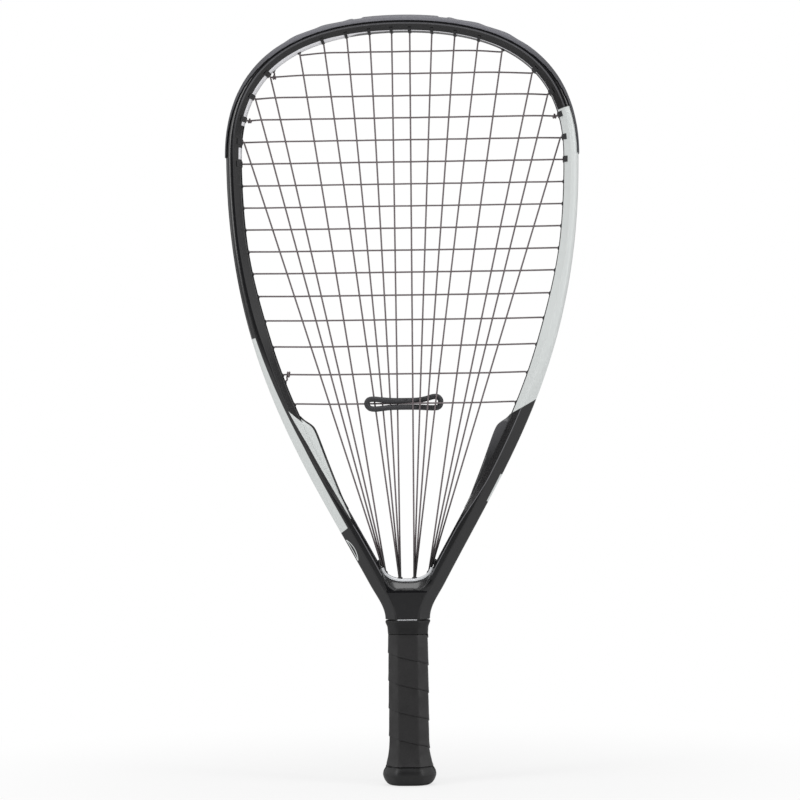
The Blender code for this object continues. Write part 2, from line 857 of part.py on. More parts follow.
def main_bed_line(main):
    """(top point, bottom point) of the stretch that lies in the string plane."""
    return mouth(MAIN_HOLES[main]), main_entry(main)[0]


def main_x(main, height):
    top, low = main_bed_line(main)
    t = (top[2] - height) / (top[2] - low[2])
    return float(top[0] + (low[0] - top[0]) * t)


def main_in_bed(main):
    """The main's points in the bed, from the top mouth to the bundle."""
    top, low = main_bed_line(main)
    settle = cross_height(CROSSES - 1) - 9.0
    start = top[2] - 7.0
    return [
        top,
        np.array([main_x(main, start), 0.0, start]),
        np.array([main_x(main, settle), 0.0, settle]),
        low,
    ]


def channel_run(start, end):
    """Points of a string that runs outside the head from one hole to another."""
    (arc_a, lane_a), (arc_b, lane_b) = start, end
    way = 1.0 if arc_b > arc_a else -1.0
    first, last = arc_a + way * TURN_DEPTH, arc_b - way * TURN_DEPTH
    count = max(2, 1 + math.ceil(abs(last - first) / 13.0))
    points = [place(arc_a, LANE + TURN_DEPTH, lane_a)]
    for t in np.linspace(0.0, 1.0, count):
        points.append(place(first + (last - first) * t, LANE, lane_a + (lane_b - lane_a) * t))
    points.append(place(arc_b, LANE + TURN_DEPTH, lane_b))
    return points


def anchor_turn(low, high):
    """Half a turn under the anchor rod, from the front string of a pair to the back one."""
    x = (low[0] + high[0]) / 2
    points = []
    for angle in (-90, -45, 0, 45, 90):
        turn = math.radians(angle)
        points.append(
            np.array([x, BUNDLE_HALF_Y * math.sin(turn), ANCHOR_HEIGHT - BUNDLE_HALF_Y * math.cos(turn)])
        )
    return points


def cross_points(row):
    """The cross string's points in the bed, left mouth to right mouth, over and under the mains."""
    height = cross_height(row)
    left, right = (mouth(CROSS_HOLES[row, side]) for side in (-1, 1))
    points = [left]
    for main in range(MAINS):
        top = main_bed_line(main)[0]
        if height > top[2] - 3.0:
            continue
        x = main_x(main, height)
        if left[0] + 2.0 < x < right[0] - 2.0:
            points.append(np.array([x, WEAVE if (main + row) % 2 else -WEAVE, height]))
    points.append(right)
    return points


def coil(row, side, start, turns, spin=1.0, inward=2.4):
    """A string end wound round the cross string of a row, beginning this far in from its mouth."""
    line = np.array(cross_points(row))
    line = line[np.argsort(line[:, 0])]
    radius = 2 * STRING_RADIUS + COIL_SPACE
    pitch = 2 * STRING_RADIUS + COIL_SPACE
    begin = mouth(CROSS_HOLES[row, side])[0] - side * inward
    points = []
    for step in range(int(turns * 8) + 1):
        angle = start + spin * math.tau * step / 8
        x = begin - side * pitch * step / 8
        y, z = (np.interp(x, line[:, 0], line[:, i]) for i in (1, 2))
        points.append(np.array([x, y + radius * math.cos(angle), z + radius * math.sin(angle)]))
    return points


def main_string_path():
    path = []
    for main in range(MAINS):
        bed = main_in_bed(main)
        entry = main_entry(main)
        if main == 0:
            tie = TIE_OFF_HOLES["main", -1]
            path += coil(3, -1, math.pi, 1.5)[::-1]
            path.append(mouth(tie))
            path += channel_run(tie, MAIN_HOLES[0])
        if main % 2 == 0:
            path += bed
            path += anchor_turn(entry[1], main_entry(main + 1)[1])
        else:
            path += bed[::-1]
            if main < MAINS - 1:
                path += channel_run(MAIN_HOLES[main], MAIN_HOLES[main + 1])
            else:
                tie = TIE_OFF_HOLES["main", 1]
                path += channel_run(MAIN_HOLES[main], tie)
                path.append(mouth(tie))
                path += coil(3, 1, math.pi, 1.5)
    return np.array(path)


def cross_string_path():
    path = []
    tie = TIE_OFF_HOLES["cross", 0]
    path += coil(1, -1, 0.0, 1.5, -1.0, 7.5)[::-1]
    path.append(mouth(tie))
    path += channel_run(tie, CROSS_HOLES[0, -1])
    for row in range(CROSSES):
        points = cross_points(row)
        side = 1 if row % 2 == 0 else -1
        path += points if side > 0 else points[::-1]
        if row < CROSSES - 1:
            path += channel_run(CROSS_HOLES[row, side], CROSS_HOLES[row + 1, side])
    tie = TIE_OFF_HOLES["cross", CROSSES - 1]
    path += channel_run(CROSS_HOLES[CROSSES - 1, -1], tie)
    path.append(mouth(tie))
    path += coil(CROSSES - 2, -1, -math.pi / 2, 1.5)
    return np.array(path)


def least_gap(path, radius):
    """Least distance between the skins of stretches of one string that aren't next to each other, in mm."""
    lengths = np.linalg.norm(np.diff(path, axis=0), axis=1)
    counts = np.maximum(1, np.ceil(lengths / 0.5)).astype(int)
    parts = []
    for i, count in enumerate(counts):
        parts.append(path[i] + (path[i + 1] - path[i]) * np.arange(count)[:, None] / count)
    points = np.concatenate(parts + [path[-1:]])
    arc = np.concatenate([[0.0], np.cumsum(np.linalg.norm(np.diff(points, axis=0), axis=1))])
    least = math.inf
    for i in range(0, len(points), 400):
        block = points[i : i + 400]
        distance = np.linalg.norm(block[:, None] - points[None], axis=2)
        near = np.abs(arc[i : i + 400, None] - arc[None]) < 5.5 * radius * 2
        distance[near] = math.inf
        least = min(least, float(distance.min()))
    return least - 2 * radius


def build_strings():
    for name, path, colour in (
        ("main_string", main_string_path(), (0.05, 0.046, 0.042)),
        ("cross_string", cross_string_path(), (0.05, 0.046, 0.042)),
    ):
        obj = tube(name, path, STRING_RADIUS, 1)
        material(obj, colour, 0.4)
        print(name, "least gap to itself", round(least_gap(path, STRING_RADIUS), 2), "mm")


def build_dampener():
    """A rubber loop round the lowest cross string, before the left mains and behind the right ones."""
    row = cross_height(CROSSES - 1)
    high, low = row + DAMPENER_ABOVE, row - DAMPENER_BELOW
    middle, reach = (high + low) / 2, (high - low) / 2
    off = DAMPENER_RADIUS + STRING_RADIUS + 3 * GAP
    inner = main_x(MAINS // 2, row) + 0.5
    outer = DAMPENER_HALF_WIDTH - reach
    path = []
    for side in (1, -1):
        path.append((side * inner, side * off, middle + side * reach))
        for angle in (90, 60, 30, 0, -30, -60, -90):
            turn = math.radians(angle)
            x = side * (outer + reach * math.cos(turn))
            path.append((x, side * off, middle + side * reach * math.sin(turn)))
        path.append((side * inner, side * off, middle - side * reach))
    obj = tube("dampener", np.array(path), DAMPENER_RADIUS, 2, cyclic=True)
    material(obj, (0.012, 0.012, 0.012), 0.6)


# Handle

def flare(height):
    """How far the handle widens towards the butt cap."""
    t = max(0.0, (32.0 - height) / (32.0 - CAP_HEIGHT))
    return FLARE * t * t


def build_handle_sleeve():
    outer = [handle_octagon(SLEEVE_INSET, height) for height in (CAP_NECK + GAP, GRIP_TOP)]
    obj = mesh_object("handle_sleeve", [skin(outer)], RACKET)
    inner = [handle_octagon(SHAFT_INSET - GAP, height) for height in (0.0, GRIP_TOP + 10.0)]
    cut(obj, "sleeve_hollow", [skin(inner)])
    material(obj, (0.05, 0.05, 0.05), 0.6)


def along_handle(angle, inset, height):
    """Point on the handle's eight sides, seen at this angle round the z axis."""
    ring = handle_octagon(inset, height, flare(height))
    way = np.array([math.cos(angle), math.sin(angle)])
    for a, b in zip(ring, np.roll(ring, -1, axis=0)):
        side = (b - a)[:2]
        turn = way[0] * -side[1] + way[1] * side[0]
        if abs(turn) < 1e-9:
            continue
        far = (a[0] * -side[1] + a[1] * side[0]) / turn
        share = (way * far - a[:2]) @ side / (side @ side)
        if far > 0 and -1e-6 <= share <= 1 + 1e-6:
            return np.array([way[0] * far, way[1] * far, height])
    raise ValueError("no side of the handle faces this way")


def tape_angles():
    """The corners of the handle and the middle of its wide sides, as angles."""
    ring = handle_octagon(0.0, 0.0)
    return sorted(math.atan2(y, x) % math.tau for x, y, _ in ring)


def build_grip_tape():
    """A strip wound round the handle, climbing from right to left across the front, its ends cut level."""
    bottom, top = CAP_HEIGHT + GAP, GRIP_TOP
    width = TAPE_TURN - 0.55
    corners = tape_angles()
    first = -1.0
    turns = (top - bottom) / TAPE_TURN + 1.0
    places = []
    for turn in range(int(turns) + 2):
        for angle in corners:
            places.append(turn * math.tau + angle)
    places = [angle for angle in places if first < angle / math.tau < turns + 1]
    rings = []
    for angle in places:
        middle = bottom - TAPE_TURN * 0.5 + TAPE_TURN * (angle / math.tau)
        low, high = max(bottom, middle - width / 2), min(top, middle + width / 2)
        if high - low < 1.2:
            continue
        edge = min(0.5, (high - low) / 4)
        ring = [
            along_handle(-angle, TAPE_THICKNESS, low),
            along_handle(-angle, 0.45, low),
            along_handle(-angle, 0.0, low + edge),
            along_handle(-angle, 0.0, high - edge),
            along_handle(-angle, 0.45, high),
            along_handle(-angle, TAPE_THICKNESS, high),
        ]
        rings.append(np.array(ring))
    obj = mesh_object("grip_tape", [skin(rings)], RACKET)
    smooth(obj, 25)
    material(obj, (0.014, 0.014, 0.014), 0.62)


def build_grip_collar():
    low, high = GRIP_TOP + GAP, NECK_HEIGHT - 0.6 - GAP
    rings = [
        handle_octagon(0.0, low, -0.35),
        handle_octagon(0.0, low + 0.6, 0.15),
        handle_octagon(0.0, low + 5.0, 0.45),
        handle_octagon(0.0, high - 1.6, COLLAR_FLARE),
        handle_octagon(0.0, high - 0.5, COLLAR_FLARE),
        handle_octagon(0.0, high, COLLAR_FLARE - 0.6),
    ]
    obj = mesh_object("grip_collar", [skin(rings)], RACKET)
    inner = [handle_octagon(SHAFT_INSET - GAP, height) for height in (low - 5.0, high + 5.0)]
    cut(obj, "collar_hollow", [skin(inner)])
    smooth(obj, 25)
    material(obj, (0.018, 0.018, 0.018), 0.5)


def build_butt_cap():
    wide = CAP_HALF_WIDTH - GRIP_HALF_WIDTH
    rings = []
    for height, drop in (
        (0.0, 3.2),
        (0.9, 1.3),
        (3.0, 0.3),
        (6.5, 0.0),
        (10.0, 0.4),
        (CAP_HEIGHT - 1.0, 1.5),
        (CAP_HEIGHT, 2.4),
    ):
        move = wide - drop
        half_depth = GRIP_HALF_DEPTH + move - CAP_SHORTER * move / wide
        rings.append(octagon(GRIP_HALF_WIDTH + move, half_depth, GRIP_BEVEL + 0.7 * move, height))
    obj = mesh_object("butt_cap", [skin(rings)], RACKET)
    neck = []
    for height in (CAP_HEIGHT - 3.0, CAP_HEIGHT, 18.0, 22.0, CAP_NECK):
        neck.append(handle_octagon(SLEEVE_INSET, height, flare(max(height, CAP_HEIGHT))))
    join(obj, "cap_neck", [skin(neck)])
    pocket = [handle_octagon(SHAFT_INSET - GAP, height) for height in (CAP_FLOOR, CAP_NECK + 5.0)]
    cut(obj, "cap_pocket", [skin(pocket)])
    hole = cylinder((0.0, 0.0, -3.0), (0.0, 0.0, CAP_FLOOR + 3.0), LANYARD_RADIUS, 16)
    cut(obj, "cap_lanyard_hole", [hole])
    tacks = []
    for i in range(4):
        start, end = tack_ends(i, 0.0, SHAFT_INSET + 1.0)
        tacks.append(cylinder(start, end, TACK_RADIUS + GAP, 8))
    cut(obj, "cap_tack_holes", tacks)
    smooth(obj, 35)
    material(obj, (0.012, 0.012, 0.012), 0.35)


def build_handle_plug():
    inset = SHAFT_INSET + SHAFT_WALL + GAP
    rings = [handle_octagon(inset, CAP_NECK + rise) for rise in (10.0, 36.0)]
    obj = mesh_object("handle_plug", [skin(rings)], RACKET)
    material(obj, (0.3, 0.29, 0.26), 0.9)


def build_cap_tacks():
    for i, name in enumerate(("right", "back", "left", "front")):
        start, end = tack_ends(i, SLEEVE_INSET + 0.1, SHAFT_INSET + SHAFT_WALL + 0.4)
        obj = mesh_object("cap_tack_" + name, [cylinder(start, end, TACK_RADIUS, 10)], RACKET)
        smooth(obj, 40)
        material(obj, (0.6, 0.6, 0.62), 0.3, 1.0)


build_frame()
build_bumper_guard()
build_grommet_strip("grommet_strip_left", -1)
build_grommet_strip("grommet_strip_right", 1)
build_throat_liner()
build_string_anchor()
build_throat_rail("throat_rail_left", -1, (0.62, 0.65, 0.64))
build_throat_rail("throat_rail_right", 1, (0.02, 0.02, 0.022))
build_strings()
build_dampener()
build_handle_sleeve()
build_grip_tape()
build_grip_collar()
build_butt_cap()
build_handle_plug()
build_cap_tacks()
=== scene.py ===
"""Racquetball racket dressed for a picture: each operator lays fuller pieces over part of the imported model."""

import functools
import math

import bmesh
import bpy
import numpy as np
from mathutils import Matrix, Vector


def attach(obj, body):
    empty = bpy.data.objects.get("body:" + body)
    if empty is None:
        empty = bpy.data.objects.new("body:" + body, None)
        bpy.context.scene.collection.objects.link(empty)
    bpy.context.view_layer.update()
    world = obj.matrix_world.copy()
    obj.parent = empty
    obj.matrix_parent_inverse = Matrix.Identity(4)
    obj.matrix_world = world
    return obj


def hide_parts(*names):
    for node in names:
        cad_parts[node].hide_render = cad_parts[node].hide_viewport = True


bl_info = {
    "name": "Racquetball Racket",
    "version": (1, 0, 0),
    "blender": (4, 5, 0),
    "location": "View3D > Sidebar > Racket",
    "description": "Dresses a racquetball racket: frame, guards, strings, dampener and wound grip",
    "category": "Object",
}

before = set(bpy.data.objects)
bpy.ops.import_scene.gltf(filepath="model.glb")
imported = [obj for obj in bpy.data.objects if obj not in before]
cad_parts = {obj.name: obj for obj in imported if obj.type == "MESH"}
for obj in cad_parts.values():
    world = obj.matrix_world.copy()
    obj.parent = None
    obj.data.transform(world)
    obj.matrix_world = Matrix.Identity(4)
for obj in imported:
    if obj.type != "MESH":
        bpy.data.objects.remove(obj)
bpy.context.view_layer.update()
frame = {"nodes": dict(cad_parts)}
MM = 0.001
BODY = "root"

# Outer edge of the head, in mm
NECK_HEIGHT = 120.3
NECK_HALF_WIDTH = 16.0
SHOULDER_RISE = 25.0
SHOULDER_SPREAD = 10.9
SHOULDER_LEAN = math.radians(28.1)
WIDEST_RISE = 311.0
HEAD_HALF_WIDTH = 127.9
CROWN_RISE = 101.0
LIMB_PULL_LOW = 0.335
LIMB_PULL_HIGH = 0.472
CROWN_PULL_SIDE = 0.473
CROWN_PULL_TOP = 0.82
HEAD_TOP = NECK_HEIGHT + SHOULDER_RISE + WIDEST_RISE + CROWN_RISE

# Section of the frame
RIM_WIDTH = 10.9
LIMB_WIDTH = 13.0
LIMB_RISE, LIMB_BLEND = 280.0, 80.0
HALF_DEPTH = 11.0
GROOVE_HALF = 4.725
GROOVE_DEPTH = 2.95
CHANNEL_SIDE = 3.2
CHANNEL_FLOOR = 1.55
LANE = 0.625
SHALLOW_GROOVE = 0.35

# String pattern
MAINS = 16
CROSSES = 16
LANE_OFFSET = 2.3
TURN_DEPTH = 0.9
BARREL_PROUD = 0.55
BUNDLE_OUTER = (15.6, 31.0)
BUNDLE_INNER = (5.2, 27.0)
BUNDLE_HALF_X = 0.3
BUNDLE_LAYERS = (-2.1, 0.7, -0.7, 2.1)
ANCHOR_HEIGHT = 142.0
SHARED_ROWS = {4: 0, 5: 1, 6: 2, 7: 4}
TIE_OFF_SHIFT = 5.5
MAIN_WEAVE = 0.35
CROSS_WEAVE = 0.92
STRING_RADIUS = 0.625
STRING_SIDES = 10
TOP_CROSS_DROP = 24.9
CROSS_SPACING = 16.03
CROSS_SPREAD = 0.61
CROSS_SPREAD_FROM = 10
CENTRE_MAIN = 6.6
MAIN_SPACING = 15.0
MAIN_SPREAD = 1.1
MOUTH_PROUD = 0.875
MOUTH_CLEAR = 3.0
SIDE_CLEAR = 2.5
MOUTH_CURVE = 1.3
BUNDLE_ABOVE = 3.5
SETTLE_DROP = 9.0
STRIP_DROP, GROOVE_DROP = 6.0, 13.0
COIL_PITCH = 1.35

# Handle
GRIP_HALF_WIDTH = 14.35
GRIP_HALF_DEPTH = 12.75
GRIP_BEVEL = 6.6
GRIP_TOP = 109.2
CAP_HEIGHT = 13.6
FLARE = 2.6
LANYARD_RADIUS = 3.5
CAP_HALF_WIDTH = 19.5
CAP_SHORTER = 1.6
RING_POINTS = 96

# Paint on the frame: heights in mm, and shares of the section's width from 0 outside to 1 inside
RIGHT_TOP, RIGHT_CUT = (490.6, 487.6), (278.7, 268.6)
BAND_HEIGHTS, BAND_SHARES, BAND_CUT = (324.4, 243.0), (0.25, 0.49), (183.0, 184.6)
WING_POINT, WING_BEND, WING_FOOT, WING_END = 272.0, 243.0, 208.0, 188.0
WING_SHARES, WING_GAIN, WING_RIM, WING_SLANT = (0.574, 0.745), 0.135, (1.02, 0.9), 11.9
# LEAF_HEIGHTS bound the painted highlight lines on the left limb below the wing.
PATCH_HEIGHTS, LEAF_HEIGHTS = (224.3, 204.8), (177.6, 162.6)
WALL_FOOT, WALL_GAP = 455.0, (482.0, 464.5)
RUN_SOFT, SHARE_SOFT, WALL_SOFT = 0.25, 0.012, 0.01
SLOPE_WIDTH = 12.2


# Curves and surfaces

def bezier(ends, count):
    """A cubic curve: each end pulls by the Bernstein weights of t."""
    t = np.linspace(0.0, 1.0, count)[:, None]
    a, b, c, d = (np.array(end, float) for end in ends)
    return (1 - t) ** 3 * a + 3 * (1 - t) ** 2 * t * b + 3 * (1 - t) * t**2 * c + t**3 * d


def edge_table():
    """Arc length from the top, point and inward normal of the outer edge: three cubics a side, mirrored."""
    neck = np.array([NECK_HALF_WIDTH, NECK_HEIGHT])
    shoulder = neck + [SHOULDER_SPREAD, SHOULDER_RISE]
    widest = np.array([HEAD_HALF_WIDTH, shoulder[1] + WIDEST_RISE])
    top = np.array([0.0, HEAD_TOP])
    lean = np.array([math.sin(SHOULDER_LEAN), math.cos(SHOULDER_LEAN)])
    up, across = np.array([0.0, 1.0]), np.array([1.0, 0.0])
    pull = SHOULDER_RISE * 0.36
    low = bezier((neck, neck + up * pull, shoulder - lean * pull, shoulder), 60)
    reach_low, reach_high = WIDEST_RISE * LIMB_PULL_LOW, WIDEST_RISE * LIMB_PULL_HIGH
    limb = bezier((shoulder, shoulder + lean * reach_low, widest - up * reach_high, widest), 500)
    side, crest = CROWN_RISE * CROWN_PULL_SIDE, HEAD_HALF_WIDTH * CROWN_PULL_TOP
    crown = bezier((widest, widest + up * side, top + across * crest, top), 400)
    right = np.concatenate([low, limb[1:], crown[1:]])[::-1]
    points = np.concatenate([(right * [-1.0, 1.0])[:0:-1], right])
    arc = np.concatenate([[0.0], np.cumsum(np.hypot(*np.diff(points, axis=0).T))])
    arc -= arc[-1] / 2
    tangent = np.gradient(points, arc, axis=0)
    tangent /= np.hypot(*tangent.T)[:, None]
    return arc, points, np.stack([tangent[:, 1], -tangent[:, 0]], axis=1)


EDGE_ARC, EDGE_POINT, EDGE_NORMAL = edge_table()
EDGE_END = float(EDGE_ARC[-1])


def smoothstep(t):
    t = np.clip(t, 0.0, 1.0)
    return t * t * (3 - 2 * t)


def rim_width(height):
    """In-plane width of the frame: a smooth step from the limbs' width to the crown's."""
    return RIM_WIDTH + (LIMB_WIDTH - RIM_WIDTH) * smoothstep((NECK_HEIGHT + LIMB_RISE - height) / LIMB_BLEND)


def edge_at(arc):
    """Point and inward normal of the outer edge, read off the table at any array of arc lengths."""
    point = np.stack([np.interp(arc, EDGE_ARC, EDGE_POINT[:, i]) for i in (0, 1)], axis=-1)
    normal = np.stack([np.interp(arc, EDGE_ARC, EDGE_NORMAL[:, i]) for i in (0, 1)], axis=-1)
    return point, normal / np.linalg.norm(normal, axis=-1, keepdims=True)


def place(arc, n, b):
    """Points in space: the edge's point at the arc length, n inward along its normal and b along y."""
    arc, n, b = np.broadcast_arrays(*(np.asarray(value, float) for value in (arc, n, b)))
    point, normal = edge_at(arc)
    flat = point + normal * n[..., None]
    return np.stack([flat[..., 0], b, flat[..., 1]], axis=-1)


def width_at(arc):
    return rim_width(edge_at(arc)[0][..., 1])


INNER_EDGE = EDGE_POINT + EDGE_NORMAL * rim_width(EDGE_POINT[:, 1])[:, None]


def arc_of_height(height, side, edge=EDGE_POINT):
    half = EDGE_ARC * side > 0
    order = np.argsort(edge[half][:, 1])
    return float(np.interp(height, edge[half][order, 1], EDGE_ARC[half][order]))


def arc_of_width(x):
    upper = INNER_EDGE[:, 1] > HEAD_TOP - CROWN_RISE
    return float(np.interp(x, INNER_EDGE[upper, 0], EDGE_ARC[upper]))


def rounded(points, times):
    """An open line with its corners cut: a pass keeps the quarter and three quarter points of each stretch."""
    for _ in range(times):
        first, last = points[:1], points[-1:]
        a, b = points[:-1], points[1:]
        cut = np.stack([a * 0.75 + b * 0.25, a * 0.25 + b * 0.75], axis=1).reshape(-1, points.shape[1])
        points = np.concatenate([first, cut[1:-1], last])
    return points


def spline(points, per_span):
    """A smooth line through the points, by the Catmull-Rom rule."""
    points = np.asarray(points, float)
    padded = np.concatenate([2 * points[:1] - points[1:2], points, 2 * points[-1:] - points[-2:-1]])
    a, b, c, d = padded[:-3, None], padded[1:-2, None], padded[2:-1, None], padded[3:, None]
    t = (np.arange(per_span) / per_span)[None, :, None]
    found = 0.5 * (2 * b + (c - a) * t + (2 * a - 5 * b + 4 * c - d) * t**2 + (3 * b - a - 3 * c + d) * t**3)
    return np.concatenate([found.reshape(-1, points.shape[1]), points[-1:]])


def mirrored(half):
    """A section given for b over 0, followed by its mirror image."""
    return np.concatenate([half, (half * [1.0, -1.0])[::-1]])


def grid_faces(rows, columns, start):
    """Quads between neighbouring rows of a grid of points, as one array of indices."""
    i = np.arange(rows - 1)[:, None]
    j = np.arange(columns)[None, :]
    k = (j + 1) % columns
    corners = (i * columns + j, i * columns + k, (i + 1) * columns + k, (i + 1) * columns + j)
    return np.stack([corner + start for corner in corners], axis=-1).reshape(-1, 4)


class Skin:
    """Points, faces and per-point values of one piece, gathered from grids and put into a mesh at the end."""

    def __init__(self):
        self.points, self.faces, self.values, self.count = [], [], {}, 0

    def add(self, grid, caps=True, **values):
        """A grid of points in mm, joined along its rows, closed by a face at each end where caps is set."""
        rows, columns = grid.shape[:2]
        self.points.append(grid.reshape(-1, 3))
        self.faces += grid_faces(rows, columns, self.count).tolist()
        if caps:
            self.faces.append(list(range(self.count, self.count + columns)))
            self.faces.append(list(range(self.count + (rows - 1) * columns, self.count + rows * columns)))
        for name in sorted(set(self.values) | set(values)):
            held = self.values.setdefault(name, [np.zeros(self.count)] if self.count else [])
            held.append(np.broadcast_to(values.get(name, 0.0), (rows, columns)).ravel().astype(float))
        self.count += rows * columns

    def build(self, name, finish, sharp):
        """One object at the origin, its faces turned outwards, its sharp edges marked by angle."""
        mesh = bpy.data.meshes.new(name)
        mesh.from_pydata((np.concatenate(self.points) * MM).tolist(), [], self.faces)
        for value_name, held in self.values.items():
            layer = mesh.attributes.new(value_name, "FLOAT", "POINT")
            layer.data.foreach_set("value", np.concatenate(held).astype(np.float32))
        face_outwards(mesh)
        mesh.polygons.foreach_set("use_smooth", np.ones(len(mesh.polygons), bool))
        mesh.set_sharp_from_angle(angle=math.radians(sharp))
        mesh.materials.append(finish)
        obj = bpy.data.objects.new(name, mesh)
        bpy.context.scene.collection.objects.link(obj)
        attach(obj, BODY)
        return obj


def face_outwards(mesh, merge=0.0):
    """Turns all faces outwards, after points closer than the merge distance are made one."""
    shell = bmesh.new()
    shell.from_mesh(mesh)
    if merge:
        bmesh.ops.remove_doubles(shell, verts=shell.verts, dist=merge)
    bmesh.ops.recalc_face_normals(shell, faces=shell.faces)
    shell.to_mesh(mesh)
    shell.free()


def rings_about(path, way, first, radius, sides):
    """Circles about the points of a path: radius times the cosine along one axis and the sine along the other."""
    second = np.cross(way, first)
    turn = np.arange(sides) * math.tau / sides
    ring = np.cos(turn)[None, :, None] * first[:, None] + np.sin(turn)[None, :, None] * second[:, None]
    return path[:, None] + radius * ring


def tube_grid(path, radius, sides):
    """Circles along an open path: each one's first axis is the last one's, turned as little as the path turns."""
    way = np.gradient(path, axis=0)
    way /= np.linalg.norm(way, axis=1, keepdims=True)
    first = np.empty_like(way)
    seed = np.array([0.0, 1.0, 0.0]) if abs(way[0, 1]) < 0.9 else np.array([1.0, 0.0, 0.0])
    for i, t in enumerate(way):
        seed = seed - t * (seed @ t)
        seed = seed / np.linalg.norm(seed)
        first[i] = seed
    return rings_about(path, way, first, radius, sides)


def run_of(path):
    return np.concatenate([[0.0], np.cumsum(np.linalg.norm(np.diff(path, axis=0), axis=1))])


# Finishes

def srgb(red, green, blue):
    """Linear values of a colour that is given as a screen shows it, from 0 to 255."""
    seen = np.array([red, green, blue]) / 255.0
    return tuple(float(v) for v in np.where(seen <= 0.04045, seen / 12.92, ((seen + 0.055) / 1.055) ** 2.4))


class Finish:
    """A node material under construction: one Principled shader and the few nodes that feed it."""

    def __init__(self, name, roughness, metallic=0.0, coat=0.0, coat_roughness=0.05, specular=0.5):
        self.material = bpy.data.materials.new(name)
        self.material.use_nodes = True
        self.nodes = self.material.node_tree.nodes
        self.links = self.material.node_tree.links
        self.shader = self.nodes["Principled BSDF"]
        self.shader.inputs["Roughness"].default_value = roughness
        self.shader.inputs["Metallic"].default_value = metallic
        self.shader.inputs["Coat Weight"].default_value = coat
        self.shader.inputs["Coat Roughness"].default_value = coat_roughness
        self.shader.inputs["Specular IOR Level"].default_value = specular
        self.place = self.nodes.new("ShaderNodeTexCoord").outputs["Object"]

    def noise(self, scale, detail=3.0):
        """Noise on the object's own coordinates, in cells per metre."""
        node = self.nodes.new("ShaderNodeTexNoise")
        node.inputs["Scale"].default_value = scale
        node.inputs["Detail"].default_value = detail
        self.links.new(self.place, node.inputs["Vector"])
        return node.outputs["Fac"]

    def axis(self, letter):
        """One coordinate of the object's own space, in metres."""
        node = self.nodes.new("ShaderNodeSeparateXYZ")
        self.links.new(self.place, node.inputs["Vector"])
        return node.outputs[letter]

    def value(self, name):
        """A value that the mesh carries at its points."""
        node = self.nodes.new("ShaderNodeAttribute")
        node.attribute_name = name
        return node.outputs["Fac"]

    def math(self, operation, a, b=0.0):
        node = self.nodes.new("ShaderNodeMath")
        node.operation = operation
        for socket, given in zip(node.inputs, (a, b)):
            if isinstance(given, (int, float)):
                socket.default_value = given
            else:
                self.links.new(given, socket)
        return node.outputs["Value"]

    def ramp(self, value, low, high, to_low=0.0, to_high=1.0, kind="SMOOTHSTEP"):
        """The value carried from one range to another and held at the ends."""
        node = self.nodes.new("ShaderNodeMapRange")
        node.interpolation_type = kind
        for name, given in (("From Min", low), ("From Max", high), ("To Min", to_low), ("To Max", to_high)):
            node.inputs[name].default_value = given
        self.links.new(value, node.inputs["Value"])
        return node.outputs["Result"]

    def plus(self, a, b):
        return self.math("ADD", a, b)

    def less(self, a, b):
        return self.math("SUBTRACT", a, b)

    def times(self, *values):
        """The product of the values, which leaves what all of several masks cover."""
        return functools.reduce(lambda a, b: self.math("MULTIPLY", a, b), values)

    def larger(self, *values):
        """The largest of the values, which joins masks."""
        return functools.reduce(lambda a, b: self.math("MAXIMUM", a, b), values)

    def shades(self, factor, colour, low, high):
        """Two shades of one colour, mixed by the factor."""
        return self.mix(factor, shaded(colour, low), shaded(colour, high))

    def mix(self, factor, a, b):
        """One colour laid over another where the factor is 1."""
        node = self.nodes.new("ShaderNodeMix")
        node.data_type = "RGBA"
        self.links.new(factor, node.inputs[0])
        for socket, given in ((node.inputs[6], a), (node.inputs[7], b)):
            if isinstance(given, tuple):
                socket.default_value = (*given, 1.0)
            else:
                self.links.new(given, socket)
        return node.outputs[2]

    def colour(self, output):
        self.links.new(output, self.shader.inputs["Base Color"])

    def rough(self, output):
        self.links.new(output, self.shader.inputs["Roughness"])

    def bump(self, height, distance, strength=1.0):
        """Raises the surface by the height, at most by the distance in metres."""
        node = self.nodes.new("ShaderNodeBump")
        node.inputs["Strength"].default_value = strength
        node.inputs["Distance"].default_value = distance
        self.links.new(height, node.inputs["Height"])
        self.links.new(node.outputs["Normal"], self.shader.inputs["Normal"])


def shaded(colour, share):
    return tuple(channel * share for channel in colour)


def plastic_finish(name, colour, roughness, grain=900.0, depth=0.00004, variation=0.18, **more):
    """Moulded plastic or rubber: a slow drift of colour, a fine grain in the surface, uneven gloss."""
    finish = Finish(name, roughness, **more)
    finish.colour(finish.shades(finish.noise(60.0, 4.0), colour, 1 - variation, 1 + variation))
    finish.rough(finish.ramp(finish.noise(45.0, 5.0), 0.3, 0.7, roughness * 0.9, min(1.0, roughness * 1.12)))
    finish.bump(finish.noise(grain, 2.0), depth)
    return finish.material


def metal_finish(name, colour):
    finish = Finish(name, 0.32, metallic=1.0)
    finish.colour(finish.mix(finish.noise(240.0), shaded(colour, 0.85), colour))
    finish.rough(finish.ramp(finish.noise(700.0, 4.0), 0.3, 0.7, 0.24, 0.42))
    finish.bump(finish.noise(1500.0), 0.00001)
    return finish.material


